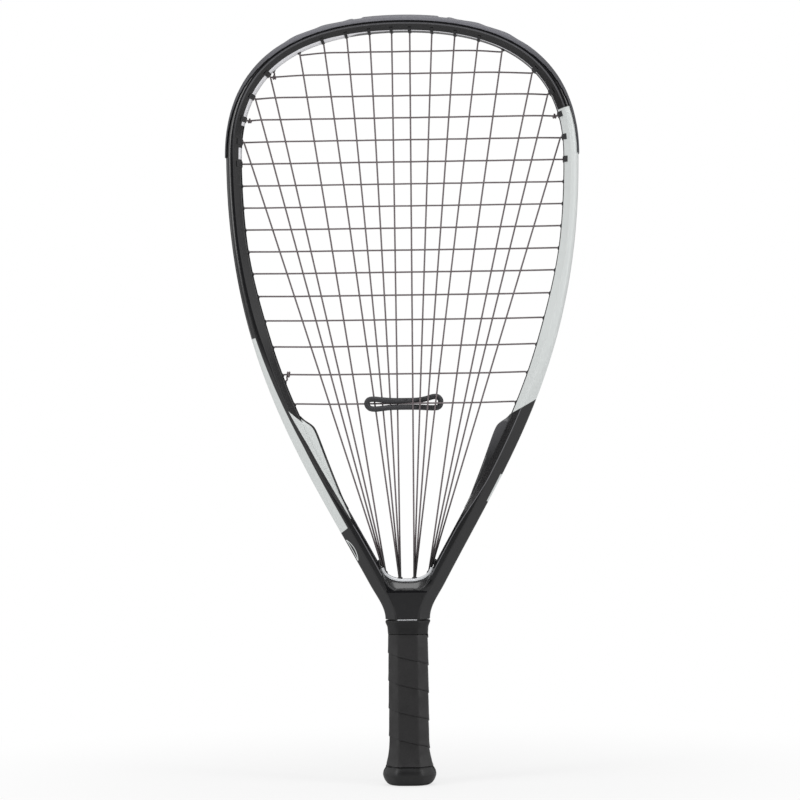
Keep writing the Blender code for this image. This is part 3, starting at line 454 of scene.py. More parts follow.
def painted_frame_finish(colours):
    """Black lacquer, painted by arc length (run, mm) and by place across the section (across, 0 to 1)."""
    finish = Finish("frame_lacquer", 0.2, coat=0.15, coat_roughness=0.08)
    plus, less, times, larger = finish.plus, finish.less, finish.times, finish.larger
    run, across, ridge = finish.value("run"), finish.value("across"), finish.value("ridge")
    left_run, reach = times(run, -1.0), finish.math("ABSOLUTE", run)

    def past(value, edge, soft=RUN_SOFT):
        return finish.ramp(value, edge - soft, edge + soft)

    def short_of(value, edge, soft=RUN_SOFT):
        return finish.ramp(value, edge - soft, edge + soft, 1.0, 0.0)

    def line(value, *ends):
        return finish.ramp(value, *ends, "LINEAR")

    def slanted(outer, inner):
        """Run measured from a cut that crosses the section from its outer end to its inner end."""
        return less(run, line(across, 0.0, 1.0, outer, inner))

    def near(value, middle, half):
        gap = finish.math("ABSOLUTE", less(value, middle))
        return finish.ramp(gap, half * 0.7, half * 1.3, 1.0, 0.0)

    def left_arc(height):
        return -arc_of_height(height, -1)

    def right_arc(height):
        return arc_of_height(height, 1)

    top, cut = (slanted(right_arc(a), arc_of_height(b, 1, INNER_EDGE)) for a, b in (RIGHT_TOP, RIGHT_CUT))
    right = times(past(top, 0.0), short_of(cut, 0.0), short_of(across, 0.94, 0.01))
    band_top, band_full = (left_arc(height) for height in BAND_HEIGHTS)
    bound = line(left_run, band_top, band_full, *BAND_SHARES)
    band_cut = slanted(*(arc_of_height(height, -1) for height in BAND_CUT))
    left = times(short_of(less(across, bound), 0.0, SHARE_SOFT), past(left_run, band_top), past(band_cut, 0.0))
    wing_point = -arc_of_height(WING_POINT, -1, EDGE_POINT + EDGE_NORMAL * 7.5)
    wing_bend, wing_end = left_arc(WING_BEND), left_arc(WING_END)
    wing_edge = plus(
        line(left_run, wing_point, wing_bend, *WING_SHARES), line(left_run, wing_bend, wing_end, 0.0, WING_GAIN)
    )
    wing_rim = line(left_run, left_arc(WING_FOOT), wing_end, *WING_RIM)
    wing_start = line(across, WING_SHARES[0], 1.0, wing_point, wing_point + WING_SLANT)
    wing = times(
        past(less(across, wing_edge), 0.0, SHARE_SOFT),
        past(less(left_run, wing_start), 0.0),
        short_of(less(across, wing_rim), 0.0, SHARE_SOFT),
        short_of(left_run, wing_end),
    )
    patch_top, patch_end = (right_arc(height) for height in PATCH_HEIGHTS)
    patch = times(past(run, patch_top), short_of(run, patch_end), short_of(across, 0.09, 0.02))
    # Painted highlight: two thin pale lines on the left limb below the wing, carrying on the wing's bright tip.
    leaf_top, leaf_end = (left_arc(height) for height in LEAF_HEIGHTS)
    along = line(left_run, leaf_top, leaf_end, 0.0, 1.0)
    bulge = times(along, less(1.0, along))
    trims = [near(across, plus(times(bulge, a), b), half) for a, b, half in ((0.1, 0.07, 0.02), (0.65, 0.08, 0.022))]
    leaf_highlight = times(larger(*trims), past(left_run, leaf_top), short_of(left_run, leaf_end))
    # pale: the painted panels, band, wing and patch, with the leaf's painted highlight lines.
    pale = larger(right, left, wing, patch, leaf_highlight)
    wall_reach = right_arc(WALL_FOOT)
    wall_start = plus(line(run, -60.0, -15.0, 0.85, 0.9), line(run, -15.0, 160.0, 0.0, 0.04))
    wall_stop = line(run, -42.0, -32.0, 1.02, 0.95)
    dark_from, dark_to = (arc_of_height(height, -1) for height in WALL_GAP)
    wall = times(
        past(less(across, wall_start), 0.0, WALL_SOFT),
        short_of(less(across, wall_stop), 0.0, WALL_SOFT),
        less(1.0, times(short_of(run, dark_from), past(run, dark_to))),
        finish.ramp(run, -wall_reach, 1.0 - wall_reach),
        finish.ramp(run, wall_reach - 1.0, wall_reach, 1.0, 0.0),
    )
    # Painted highlights: thin light lines along the limbs' ridges, their inner edge and the hoop's crest, where the
    # lacquer catches the light.
    low_ridge = times(
        near(ridge, 0.0, 0.3),
        larger(past(run, right_arc(270.0)), past(left_run, left_arc(184.0))),
        short_of(reach, right_arc(147.0)),
    )
    wall_line = times(
        near(ridge, times(less(1.0, finish.value("crest")), SLOPE_WIDTH), 0.2),
        past(reach, right_arc(214.0)),
        short_of(reach, right_arc(152.0)),
    )
    hoop_line = times(near(across, 0.475, 0.05), short_of(reach, right_arc(480.0), 35.0))
    # The painted highlight lines laid over the black lacquer.
    lines = larger(low_ridge, wall_line, times(hoop_line, 0.8))
    drift = finish.noise(35.0, 4.0)
    black = finish.mix(lines, finish.shades(drift, colours.lacquer, 0.8, 1.25), shaded(colours.ridge_highlight, 1.0))
    light = finish.shades(drift, colours.panel, 0.985, 1.01)
    white = finish.shades(drift, colours.inner_wall, 0.98, 1.01)
    finish.colour(finish.mix(wall, finish.mix(pale, black, light), white))
    finish.rough(finish.ramp(larger(pale, wall), 0.0, 1.0, 0.24, 0.36))
    finish.bump(finish.noise(420.0, 2.0), 0.000003)
    return finish.material


# String places

def cross_height(row):
    """Height of a cross string, row 0 at the top: even steps that widen in the lowest rows."""
    spread = CROSS_SPREAD * max(0, row - CROSS_SPREAD_FROM) ** 2
    return HEAD_TOP - TOP_CROSS_DROP - CROSS_SPACING * row - spread


def main_holes():
    """Arc length and lane of each main string's top hole, from the left."""
    found = []
    for main in range(MAINS):
        side = -1 if main < MAINS // 2 else 1
        index = MAINS // 2 - 1 - main if side < 0 else main - MAINS // 2
        if index in SHARED_ROWS:
            height = cross_height(SHARED_ROWS[index])
            found.append((arc_of_height(height, side, INNER_EDGE), -LANE_OFFSET))
        else:
            x = CENTRE_MAIN + MAIN_SPACING * index + MAIN_SPREAD * index**1.35
            found.append((arc_of_width(side * x), 0.0))
    return found


def cross_hole(row, side):
    lane = LANE_OFFSET if row <= max(SHARED_ROWS.values()) else 0.0
    return arc_of_height(cross_height(row), side, INNER_EDGE), lane


MAIN_HOLES = main_holes()
CROSS_HOLES = {(row, side): cross_hole(row, side) for row in range(CROSSES) for side in (-1, 1)}
TIE_OFFS = {
    "main_left": (CROSS_HOLES[3, -1][0], -LANE_OFFSET),
    "main_right": (CROSS_HOLES[3, 1][0], -LANE_OFFSET),
    "cross_top": (CROSS_HOLES[1, -1][0] + TIE_OFF_SHIFT, LANE_OFFSET),
    "cross_low": (CROSS_HOLES[CROSSES - 2, -1][0] - TIE_OFF_SHIFT, 0.0),
}
ALL_HOLES = np.array(MAIN_HOLES + list(CROSS_HOLES.values()) + list(TIE_OFFS.values()))
BUMPER_END = arc_of_height(NECK_HEIGHT + SHOULDER_RISE + WIDEST_RISE + 0.2, 1)
STRIP_END = arc_of_height(cross_height(CROSSES - 1) - STRIP_DROP, 1)
GROOVE_END = arc_of_height(cross_height(CROSSES - 1) - GROOVE_DROP, 1)


def mouth(hole):
    """Where a string turns, just clear of the barrel inside the head."""
    arc, lane = hole
    return place(arc, width_at(arc) + BARREL_PROUD + MOUTH_PROUD, lane)


def leaving(hole, onward):
    """A string's points as it comes out of its hole and turns towards the point that it runs to."""
    turn = mouth(hole)
    arc, lane = hole
    way = np.asarray(onward) - turn
    return [place(arc, width_at(arc) + BARREL_PROUD, lane), turn, turn + way * MOUTH_CURVE / np.linalg.norm(way)]


def bundle_axis(bundle):
    side = -1 if bundle < 2 else 1
    x, rise = BUNDLE_OUTER if bundle in (0, 3) else BUNDLE_INNER
    entry = np.array([side * x, NECK_HEIGHT + rise])
    arcs = np.array([MAIN_HOLES[4 * bundle + i][0] for i in range(4)])
    way = entry - place(arcs, RIM_WIDTH, 0.0)[:, [0, 2]].mean(axis=0)
    return entry, way / np.hypot(*way)


def main_entry(main):
    """Points of a main string where it joins its bundle, and where it meets the anchor rod."""
    entry, way = bundle_axis(main // 4)
    across = np.array([-way[1], way[0]])
    lane = across * (-BUNDLE_HALF_X if main % 4 < 2 else BUNDLE_HALF_X)
    y = BUNDLE_LAYERS[main % 4]
    above = entry - way * BUNDLE_ABOVE + lane
    below = entry + way * (ANCHOR_HEIGHT - entry[1]) / way[1] + lane * [1.0, 0.0]
    return np.array([above[0], y, above[1]]), np.array([below[0], y, ANCHOR_HEIGHT])


def main_x(main, height):
    top, low = mouth(MAIN_HOLES[main]), main_entry(main)[0]
    return float(top[0] + (low[0] - top[0]) * (top[2] - height) / (top[2] - low[2]))


def main_in_bed(main):
    """A main's points from the top mouth down, pushed a little away from each cross string that it passes."""
    top, low = mouth(MAIN_HOLES[main]), main_entry(main)[0]
    points = leaving(MAIN_HOLES[main], low)
    for row in range(CROSSES):
        height = cross_height(row)
        if height < top[2] - MOUTH_CLEAR:
            y = -MAIN_WEAVE if (main + row) % 2 else MAIN_WEAVE
            points.append(np.array([main_x(main, height), y, height]))
    settle = cross_height(CROSSES - 1) - SETTLE_DROP
    points += [np.array([main_x(main, settle), 0.0, settle]), low]
    return points


def cross_in_bed(row):
    """A cross string's points from the left mouth to the right one, over and under the mains."""
    height = cross_height(row)
    left, right = (mouth(CROSS_HOLES[row, side]) for side in (-1, 1))
    points = leaving(CROSS_HOLES[row, -1], right)
    for main in range(MAINS):
        x = main_x(main, height)
        inside = left[0] + SIDE_CLEAR < x < right[0] - SIDE_CLEAR
        if inside and height <= mouth(MAIN_HOLES[main])[2] - MOUTH_CLEAR:
            points.append(np.array([x, CROSS_WEAVE if (main + row) % 2 else -CROSS_WEAVE, height]))
    return points + leaving(CROSS_HOLES[row, 1], left)[::-1]


def channel_run(start, end):
    """Points of a string that runs outside the head, under the guard, from one hole to another."""
    (arc_a, lane_a), (arc_b, lane_b) = start, end
    way = math.copysign(1.0, arc_b - arc_a)
    arcs = np.linspace(arc_a + way * TURN_DEPTH, arc_b - way * TURN_DEPTH, 5)
    run = place(arcs, LANE, np.linspace(lane_a, lane_b, 5))
    ends = [place(arc, LANE + TURN_DEPTH, lane) for arc, lane in (start, end)]
    return [ends[0], *run, ends[1]]


def coil(row, side, start, spin, inward, radius=COIL_PITCH):
    """A string end wound one and a half times round the cross string of a row: a helix about that line."""
    line = np.array(cross_in_bed(row))
    step = np.arange(25)
    x = mouth(CROSS_HOLES[row, side])[0] - side * (inward + COIL_PITCH * step / 16)
    y, z = (np.interp(x, line[:, 0], line[:, i]) for i in (1, 2))
    angle = start + spin * math.tau * step / 16
    return list(np.stack([x, y + radius * np.cos(angle), z + radius * np.sin(angle)], axis=1))


def main_string_path():
    """The main string from its left end to its right one: down and up the bed, round the anchor and outside."""
    path = []
    for main in range(MAINS):
        bed, entry = main_in_bed(main), main_entry(main)
        if main == 0:
            tie = TIE_OFFS["main_left"]
            path += coil(3, -1, math.pi, 1.0, 0.3)[::-1] + [mouth(tie)] + channel_run(tie, MAIN_HOLES[0])
        if main % 2:
            path += bed[::-1]
            if main < MAINS - 1:
                path += channel_run(MAIN_HOLES[main], MAIN_HOLES[main + 1])
        else:
            turn = np.radians(np.arange(-90, 91, 30))
            near, far = entry[1], main_entry(main + 1)[1]
            middle, reach = (near[1] + far[1]) / 2, (far[1] - near[1]) / 2
            low = ANCHOR_HEIGHT - reach * np.cos(turn)
            x = np.full(7, (near[0] + far[0]) / 2)
            path += bed + list(np.stack([x, middle + reach * np.sin(turn), low], axis=1))
    tie = TIE_OFFS["main_right"]
    path += channel_run(MAIN_HOLES[-1], tie) + [mouth(tie)] + coil(3, 1, math.pi, 1.0, 0.3)
    return np.array(path)


def cross_string_path():
    """The cross string from its top end to its low one: back and forth over the bed, with the runs outside."""
    tie = TIE_OFFS["cross_top"]
    path = coil(1, -1, 0.0, -1.0, 1.6)[::-1] + [mouth(tie)] + channel_run(tie, CROSS_HOLES[0, -1])
    for row in range(CROSSES):
        points = cross_in_bed(row)
        side = 1 if row % 2 == 0 else -1
        path += points if side > 0 else points[::-1]
        if row < CROSSES - 1:
            path += channel_run(CROSS_HOLES[row, side], CROSS_HOLES[row + 1, side])
    tie = TIE_OFFS["cross_low"]
    path += channel_run(CROSS_HOLES[CROSSES - 1, -1], tie) + [mouth(tie)]
    return np.array(path + coil(CROSSES - 2, -1, -math.pi / 2, 1.0, 1.5, 1.7))


# Frame surfaces

def crest_at(height):
    """Where the section is deepest, as a share of its width: the middle at the head, further in down the limbs."""
    return 0.5 + 0.085 * smoothstep((340.0 - height) / 40.0) + 0.275 * smoothstep((222.0 - height) / 46.0)


def resampled(line, count):
    """A line read again at even steps of its length."""
    run = run_of(line)
    even = np.linspace(0.0, run[-1], count)
    return np.stack([np.interp(even, run, line[:, i]) for i in range(line.shape[1])], axis=1)


def half_section(arc):
    """The frame's skin on one side of its middle, from the groove over the crest to the inner edge.

    The shoulder is round at the head and blends into a flat slope down the limbs, and past the crest a flat slope
    runs to the inner edge.
    """
    width, height = float(width_at(arc)), float(edge_at(arc)[0][1])
    depth, crest = HALF_DEPTH, float(crest_at(height))
    limb = float(smoothstep((330.0 - height) / 60.0))
    bottom = GROOVE_DEPTH + (SHALLOW_GROOVE - GROOVE_DEPTH) * smoothstep((abs(arc) - GROOVE_END) / 4.0)
    scale = np.array([width, depth])
    edge, top = (0.0, GROOVE_HALF / depth), (crest, 1.0)
    hoop = spline(np.array([edge, (0.3 / width, 0.62), (1.5 / width, 0.86), (0.30, 0.965), top]) * scale, 6)
    slope = np.array([edge, (0.3 / width, 0.52), (0.50, 0.97), (0.56, 1.0), top]) * scale
    shoulder = resampled(hoop, 24) * (1 - limb) + resampled(slope, 24) * limb
    brow = np.array([crest + 0.025, 0.975])
    foot = np.array([0.93 + 0.04 * (crest - 0.5) / 0.36, 0.55])
    facet = brow + (foot - brow) * np.array([0.0, 0.05, 0.5, 0.95, 1.0])[:, None]
    wall = np.concatenate([facet, [(0.985, 0.36), (0.998, 0.16), (1.0, 0.0)]]) * scale
    return np.concatenate([[(bottom, 0.0), (bottom, GROOVE_HALF)], shoulder, wall])


def looped(half):
    """A section that starts and ends in the middle plane, followed by its mirror image without those two points."""
    return np.concatenate([half, (half * [1.0, -1.0])[-2:0:-1]])


def swept(arcs, rows):
    """Sections carried along the outer edge, one at each arc length: n inward along its normal, b along y."""
    return place(arcs[:, None], rows[..., 0], rows[..., 1])


def eight_walls(angle, reach, power):
    """Distance from the axis to eight walls in each direction, their corners softened by a power mean."""
    walls = np.arange(8) * math.tau / 8
    facing = np.clip(np.cos(np.asarray(angle)[..., None] - walls), 0.0, None) / reach
    return (facing**power).sum(axis=-1) ** (-1 / power)


def walls_of(half_x, half_y, bevel):
    slant = (half_x + half_y - bevel) / math.sqrt(2)
    return np.array([half_x, slant, half_y, slant] * 2)


def rounded_octagon(half_x, half_y, bevel, height, power):
    """A level ring on eight softened walls."""
    angles = np.arange(RING_POINTS) * math.tau / RING_POINTS
    radius = eight_walls(angles, walls_of(half_x, half_y, bevel), power)
    return np.stack([radius * np.cos(angles), radius * np.sin(angles), np.full(RING_POINTS, height)], axis=1)


def grip_ring(move, height, power=26.0):
    """A level ring round the handle, each of its walls moved out by the same amount."""
    bevel = GRIP_BEVEL + 0.586 * move
    return rounded_octagon(GRIP_HALF_WIDTH + move, GRIP_HALF_DEPTH + move, bevel, height, power)


SADDLE_RISE = 26.9
SADDLE_MIDDLE = np.array(
    [(0, 0), (4, 0), (8, 0.55), (11.9, 1.8), (15.5, 4.1), (18.2, 7.4), (19.2, 11.5), (19.4, 16.1)]
)
SADDLE_FACE = np.array(
    [(0, -5.8), (4, -5.8), (8, -5.6), (12.5, -3), (16.3, 1.8), (19.2, 6.6), (20.2, 11), (20.4, 16.1)]
)


def saddle_line(lift):
    """Lower edge of the throat's opening from left to right, at mid depth for lift 0 and at the faces for lift 1."""
    right = spline(SADDLE_MIDDLE + (SADDLE_FACE - SADDLE_MIDDLE) * lift, 6)
    return np.concatenate([right[:0:-1] * [-1.0, 1.0], right]) + [0.0, NECK_HEIGHT + SADDLE_RISE]


def yoke_grid():
    """The block between the limbs, as upright outlines set one behind another along y.

    Its top is the saddle, which sinks towards both faces, and its faces are rounded off at their rim.
    """
    depth = HALF_DEPTH + 0.1
    turn = np.linspace(-1.0, 1.0, 49)
    y = depth * np.sign(turn) * (1 - (1 - np.abs(turn)) ** 1.6)
    lift = smoothstep((np.abs(y) - 4.6) / (depth - 4.6)) ** 0.8
    inset = 0.9 * np.clip((np.abs(y) - depth + 0.9) / 0.9, 0.0, 1.0) ** 3
    rows = []
    for at, rise, trim in zip(y, lift, inset):
        top = saddle_line(rise) - [0.0, trim]
        side_z = np.linspace(top[-1, 1], NECK_HEIGHT - 0.6 + trim, 14)
        side_x = np.maximum(edge_half_width(side_z) - 7.4, 7.0) - trim
        side_x[0] = top[-1, 0]
        right = np.stack([side_x, side_z], axis=1)[1:]
        outline = np.concatenate([top, right, (right * [-1.0, 1.0])[::-1]])
        sink = 1 - 0.42 * smoothstep((outline[:, 1] - NECK_HEIGHT - 27.5) / 14.0)
        rows.append(np.stack([outline[:, 0], at * sink, outline[:, 1]], axis=1))
    return np.array(rows)


def edge_half_width(height):
    half = EDGE_ARC > 0
    order = np.argsort(EDGE_POINT[half][:, 1])
    return np.interp(height, EDGE_POINT[half][order, 1], EDGE_POINT[half][order, 0])


def panel_grid():
    """The yoke's raised centre panel on both faces: level rings, wider upwards, that end under the saddle."""
    heights = np.linspace(NECK_HEIGHT - 0.3, NECK_HEIGHT + 21.2, 22)
    half = 7.7 + 6.2 * (np.clip(heights - NECK_HEIGHT, 0.0, None) / 18.7) ** 1.7
    trim = 0.3 * np.clip(heights - heights[-1] + 1.0, 0.0, 1.0) ** 2
    rows = []
    for x, y, height in zip(half, HALF_DEPTH + 0.2 - trim, heights):
        corner = np.array([(x, y - 0.15), (x - 0.15, y)])
        front = np.concatenate([corner, corner[::-1] * [-1.0, 1.0]])
        ring = np.concatenate([front, front[::-1] * [1.0, -1.0]])
        rows.append(np.column_stack([ring, np.full(len(ring), height)]))
    return np.array(rows)


# Frame, guards and rails

def frame_arcs():
    """Arc lengths of the frame's sections: even steps, closer where the groove runs out."""
    arcs = np.concatenate([np.linspace(-EDGE_END, EDGE_END, 521), np.arange(0.0, 5.0) + GROOVE_END])
    return np.unique(np.concatenate([arcs, -np.arange(0.0, 5.0) - GROOVE_END]))


def make_frame(colours):
    """The frame: hoop and limbs along the edge, the yoke with its raised panel, and the neck."""
    skin = Skin()
    arcs = frame_arcs()
    rows = np.array([looped(half_section(arc)) for arc in arcs])
    across = rows[..., 0] / width_at(arcs)[:, None]
    crest = crest_at(edge_at(arcs)[0][:, 1])[:, None]
    ridge = (across - crest) * width_at(arcs)[:, None]
    skin.add(swept(arcs, rows), run=arcs[:, None], across=across, ridge=ridge, crest=crest)
    off = {"run": EDGE_END, "across": 0.5, "ridge": -9.0, "crest": 0.0}
    skin.add(yoke_grid(), **off)
    skin.add(panel_grid(), **off)
    neck = [(-5.0, -2.2), (-0.6, -2.2), (-0.2, -1.7)]
    skin.add(np.array([grip_ring(move, NECK_HEIGHT + rise) for rise, move in neck]), **off)
    obj = skin.build("frame_lacquered", painted_frame_finish(colours), 38.0)
    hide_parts("frame")


PAD_STEPS = ((0.0, 0.0), (27.0, 0.0), (28.4, 0.75), (33.4, 0.75), (35.0, 0.15), (37.2, 0.2), (41.5, 0.85),
             (46.0, 0.75), (54.0, 0.3), (57.6, 0.25), (63.5, 0.95), (68.5, 0.75), (77.0, 0.25), (80.5, 0.25),
             (88.0, 0.9), (96.0, 0.62), (120.0, 0.62), (400.0, 0.62))
GUARD_SEAT = 4.42
WIDE_PAD, NARROW_PAD = 2.3, 1.2


def pad_drop(arc):
    """How far the guard's outer face lies under its pads: straight stretches between the steps' ends."""
    steps = np.array(PAD_STEPS)
    return 1.5 * float(np.interp(abs(arc), steps[:, 0], steps[:, 1]))


def guard_section(arc):
    """The guard hugs the frame's shoulder, and its lip reaches furthest over it round the crown."""
    reach = float(smoothstep((190.0 - abs(arc)) / 100.0))
    drop = pad_drop(arc)
    low, high = (1.2, HALF_DEPTH * 0.86 + 0.35), (0.345 * RIM_WIDTH, HALF_DEPTH * 0.975 + 0.45)
    inner = spline([(-0.1, HALF_DEPTH * 0.6 + 0.1), low, high], 8)
    keep = 2 + int(round(14 * (0.28 + 0.72 * reach)))
    inner = inner[:keep]
    tip = inner[-1] + np.array([-0.42, 0.86]) * 0.9
    bend = inner[keep // 2] + np.array([-0.72, 0.66]) * 1.2
    outer = spline([tip, bend, (-1.12 + 0.6 * drop, HALF_DEPTH * 0.64), (-1.45 + drop, 3.6)], 6)
    seat = [(GROOVE_DEPTH - 0.3, GUARD_SEAT), (-0.3, GUARD_SEAT)]
    return np.concatenate([seat, inner, outer, [(-1.5 + drop, CHANNEL_SIDE), (CHANNEL_FLOOR, CHANNEL_SIDE)]])


def guard_grid(arcs):
    return swept(arcs, np.array([mirrored(resampled(guard_section(arc), 44)) for arc in arcs]))


def barrel_grids(skin, holes):
    """Barrels through the frame's inner wall: rings along its normal, over a rounded lip and back down the bore."""
    profile = np.array(
        [(-2.2, 1.35), (0.2, 1.35), (0.45, 1.25), (0.55, 1.05), (0.55, 0.85), (0.4, 0.78), (-1.8, 0.78)]
    )
    turn = np.arange(14) * math.tau / 14
    for arc, lane in holes:
        point, normal = edge_at(arc)
        side = np.array([normal[1], -normal[0]])
        n = width_at(arc) + profile[:, 0]
        flat = point + n[:, None, None] * normal + (profile[:, 1, None] * np.cos(turn))[..., None] * side
        b = lane + profile[:, 1, None] * np.sin(turn)
        skin.add(np.stack([flat[..., 0], b, flat[..., 1]], axis=-1))


def pad_grid(arc, reach):
    """A pad wrapped round the inner wall at a hole, rounded down at both ends.

    It is the frame's own section past the middle of its slope, thickened and carried along the wall.
    """
    out = np.array([(0.7, 0.71), (0.7, 0.71), (0.85, 0.5), (0.97, 0.2), (1.0, 0.05), (1.0, 0.0)])
    rows = []
    for share, lift in ((-1.0, -0.5), (-0.97, 0.2), (-0.85, 0.5), (0.85, 0.5), (0.97, 0.2), (1.0, -0.5)):
        step = share * reach
        wall = half_section(arc + step)[-6:]
        outer = wall + out * lift
        inner = wall - out * 0.9
        over = np.concatenate([outer, (outer * [1.0, -1.0])[-2::-1]])
        under = np.concatenate([inner, (inner * [1.0, -1.0])[-2::-1]])
        ring = np.concatenate([over, under[::-1]])
        rows.append(place(arc + step, ring[:, 0], ring[:, 1]))
    return np.array(rows)


def guard_finish(colour):
    """Matte moulded plastic, with painted light: lighter over the crown, where light falls from above."""
    finish = Finish("guard_plastic", 0.5)
    # Painted light: the guard is drawn two to three times lighter over the crown, the part that faces the light above.
    crown = finish.ramp(finish.axis("Z"), 0.515, 0.548)
    grain = finish.noise(1400.0)
    finish.colour(finish.mix(crown, finish.shades(grain, colour, 0.82, 1.18), finish.shades(grain, colour, 2.2, 3.0)))
    finish.bump(grain, 0.00003)
    return finish.material


def strip_finish(name, colours):
    return plastic_finish(name, colours.strip, 0.46, 1400.0, 0.00003)


def make_guard(colours):
    """The guard, with sections at every step of its pads, and the barrels and pads that it holds."""
    steps = [side * step for side in (-1, 1) for step, _ in PAD_STEPS[1:-1]]
    skin = Skin()
    skin.add(guard_grid(np.unique(np.concatenate([np.linspace(-BUMPER_END, BUMPER_END, 331), steps]))))
    obj = skin.build("guard", guard_finish(colours.guard), 32.0)
    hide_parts("bumper_guard")
    barrels = Skin()
    barrel_grids(barrels, ALL_HOLES[np.abs(ALL_HOLES[:, 0]) < BUMPER_END])
    for (row, _), (arc, _) in CROSS_HOLES.items():
        if 0 < row and abs(arc) < BUMPER_END - 3.0:
            barrels.add(pad_grid(arc, WIDE_PAD))
    for arc, lane in MAIN_HOLES:
        if lane == 0.0 and abs(arc) < BUMPER_END:
            barrels.add(pad_grid(arc, NARROW_PAD))
    barrels.build("guard_barrels", strip_finish("barrel_plastic", colours), 32.0)


def make_strips(colours):
    """The grommet strips below the guard: one section along each side of the groove, with barrels and a pad."""
    finish = strip_finish("strip_plastic", colours)
    lip = [(0.25, GUARD_SEAT), (0.1, 4.27), (0.1, 3.35), (0.25, CHANNEL_SIDE)]
    n, b = mirrored(np.array([(GROOVE_DEPTH - 0.3, GUARD_SEAT), *lip, (CHANNEL_FLOOR, CHANNEL_SIDE)])).T
    for name, side in (("left", -1), ("right", 1)):
        skin = Skin()
        arcs = side * np.linspace(BUMPER_END + 0.6, STRIP_END, 90)
        skin.add(place(arcs[:, None], n, b))
        barrel_grids(skin, ALL_HOLES[ALL_HOLES[:, 0] * side > BUMPER_END])
        skin.add(pad_grid(CROSS_HOLES[max(SHARED_ROWS.values()) + 1, side][0], WIDE_PAD))
        obj = skin.build("grommets_" + name, finish, 32.0)
        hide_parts("grommet_strip_" + name)


RAIL_RISES = (148.0, 80.0)
RAIL_WIDTH = 5.4
RAIL_HALF_DEPTH = 5.2
RAIL_SHAPE = ((0.0, 0.0), (0.05, 0.2), (0.12, 0.78), (0.17, 0.99), (0.25, 0.97), (0.39, 0.77), (0.51, 0.57),
              (0.69, 0.28), (0.81, 0.1), (0.9, 0.02), (1.0, 0.0))


def rail_grid(side):
    """A fin down the limb's inner side: its reach follows a smooth line through RAIL_SHAPE, its edge is rounded."""
    top, bottom = (arc_of_height(NECK_HEIGHT + rise, side, INNER_EDGE) for rise in RAIL_RISES)
    shape = spline(RAIL_SHAPE, 12)
    shape = shape[np.concatenate([[True], np.diff(shape[:, 0]) > 1e-6])]
    arcs = top + (bottom - top) * shape[:, 0]
    rows, rims = [], []
    for arc, wide in zip(arcs, np.maximum(shape[:, 1], 0.0)):
        width = float(width_at(arc))
        half = RAIL_HALF_DEPTH * (0.55 + 0.45 * min(1.0, wide * 2))
        fall = (half / HALF_DEPTH - 0.24) / 0.34 * 0.1 * width
        foot = width + 0.2
        span = 0.12 + 0.38 * min(1.0, wide * 8) + RAIL_WIDTH * wide
        soft, tip = min(0.35, 0.4 * span), foot + span
        line = np.array(
            [
                (foot, 0.0),
                (foot, HALF_DEPTH * 0.2),
                (width - fall + 0.2, half),
                (foot + span * 0.25, half + 0.04),
                (foot + span * 0.6, half - 0.1),
                (tip - soft, half - 0.5),
                (tip - soft * 0.3, half - 0.9),
                (tip, half * 0.6),
                (tip, 0.0),
            ]
        )
        rows.append(looped(line))
        rims.append(tip - rows[-1][:, 0])
    return swept(arcs, np.array(rows)), np.array(rims)


def make_rails(colours):
    """The two fins: the left one pale inside a black rim, the right one black with a painted sheen that greys it
    towards its top.
    """
    for name, side in (("left", -1), ("right", 1)):
        grid, rim = rail_grid(side)
        finish = Finish("rail_" + name + "_lacquer", 0.34, coat=0.1, coat_roughness=0.16)
        drift = finish.noise(40.0, 4.0)
        black = finish.shades(drift, colours.lacquer, 0.85, 1.3)
        if side < 0:
            edge = finish.ramp(finish.value("rim"), 0.95, 1.15)
            finish.colour(finish.mix(edge, black, finish.shades(drift, colours.panel, 0.98, 1.01)))
        else:
            # Painted sheen: a painted reflection that turns the right fin greyer towards its top.
            top_sheen = finish.ramp(finish.axis("Z"), 0.222, 0.262)
            finish.colour(finish.mix(top_sheen, black, shaded(colours.ridge_highlight, 0.62)))
        finish.bump(finish.noise(420.0, 2.0), 0.000003)
        skin = Skin()
        skin.add(grid, rim=rim)
        obj = skin.build("rail_" + name, finish.material, 40.0)
        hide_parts("throat_rail_" + name)


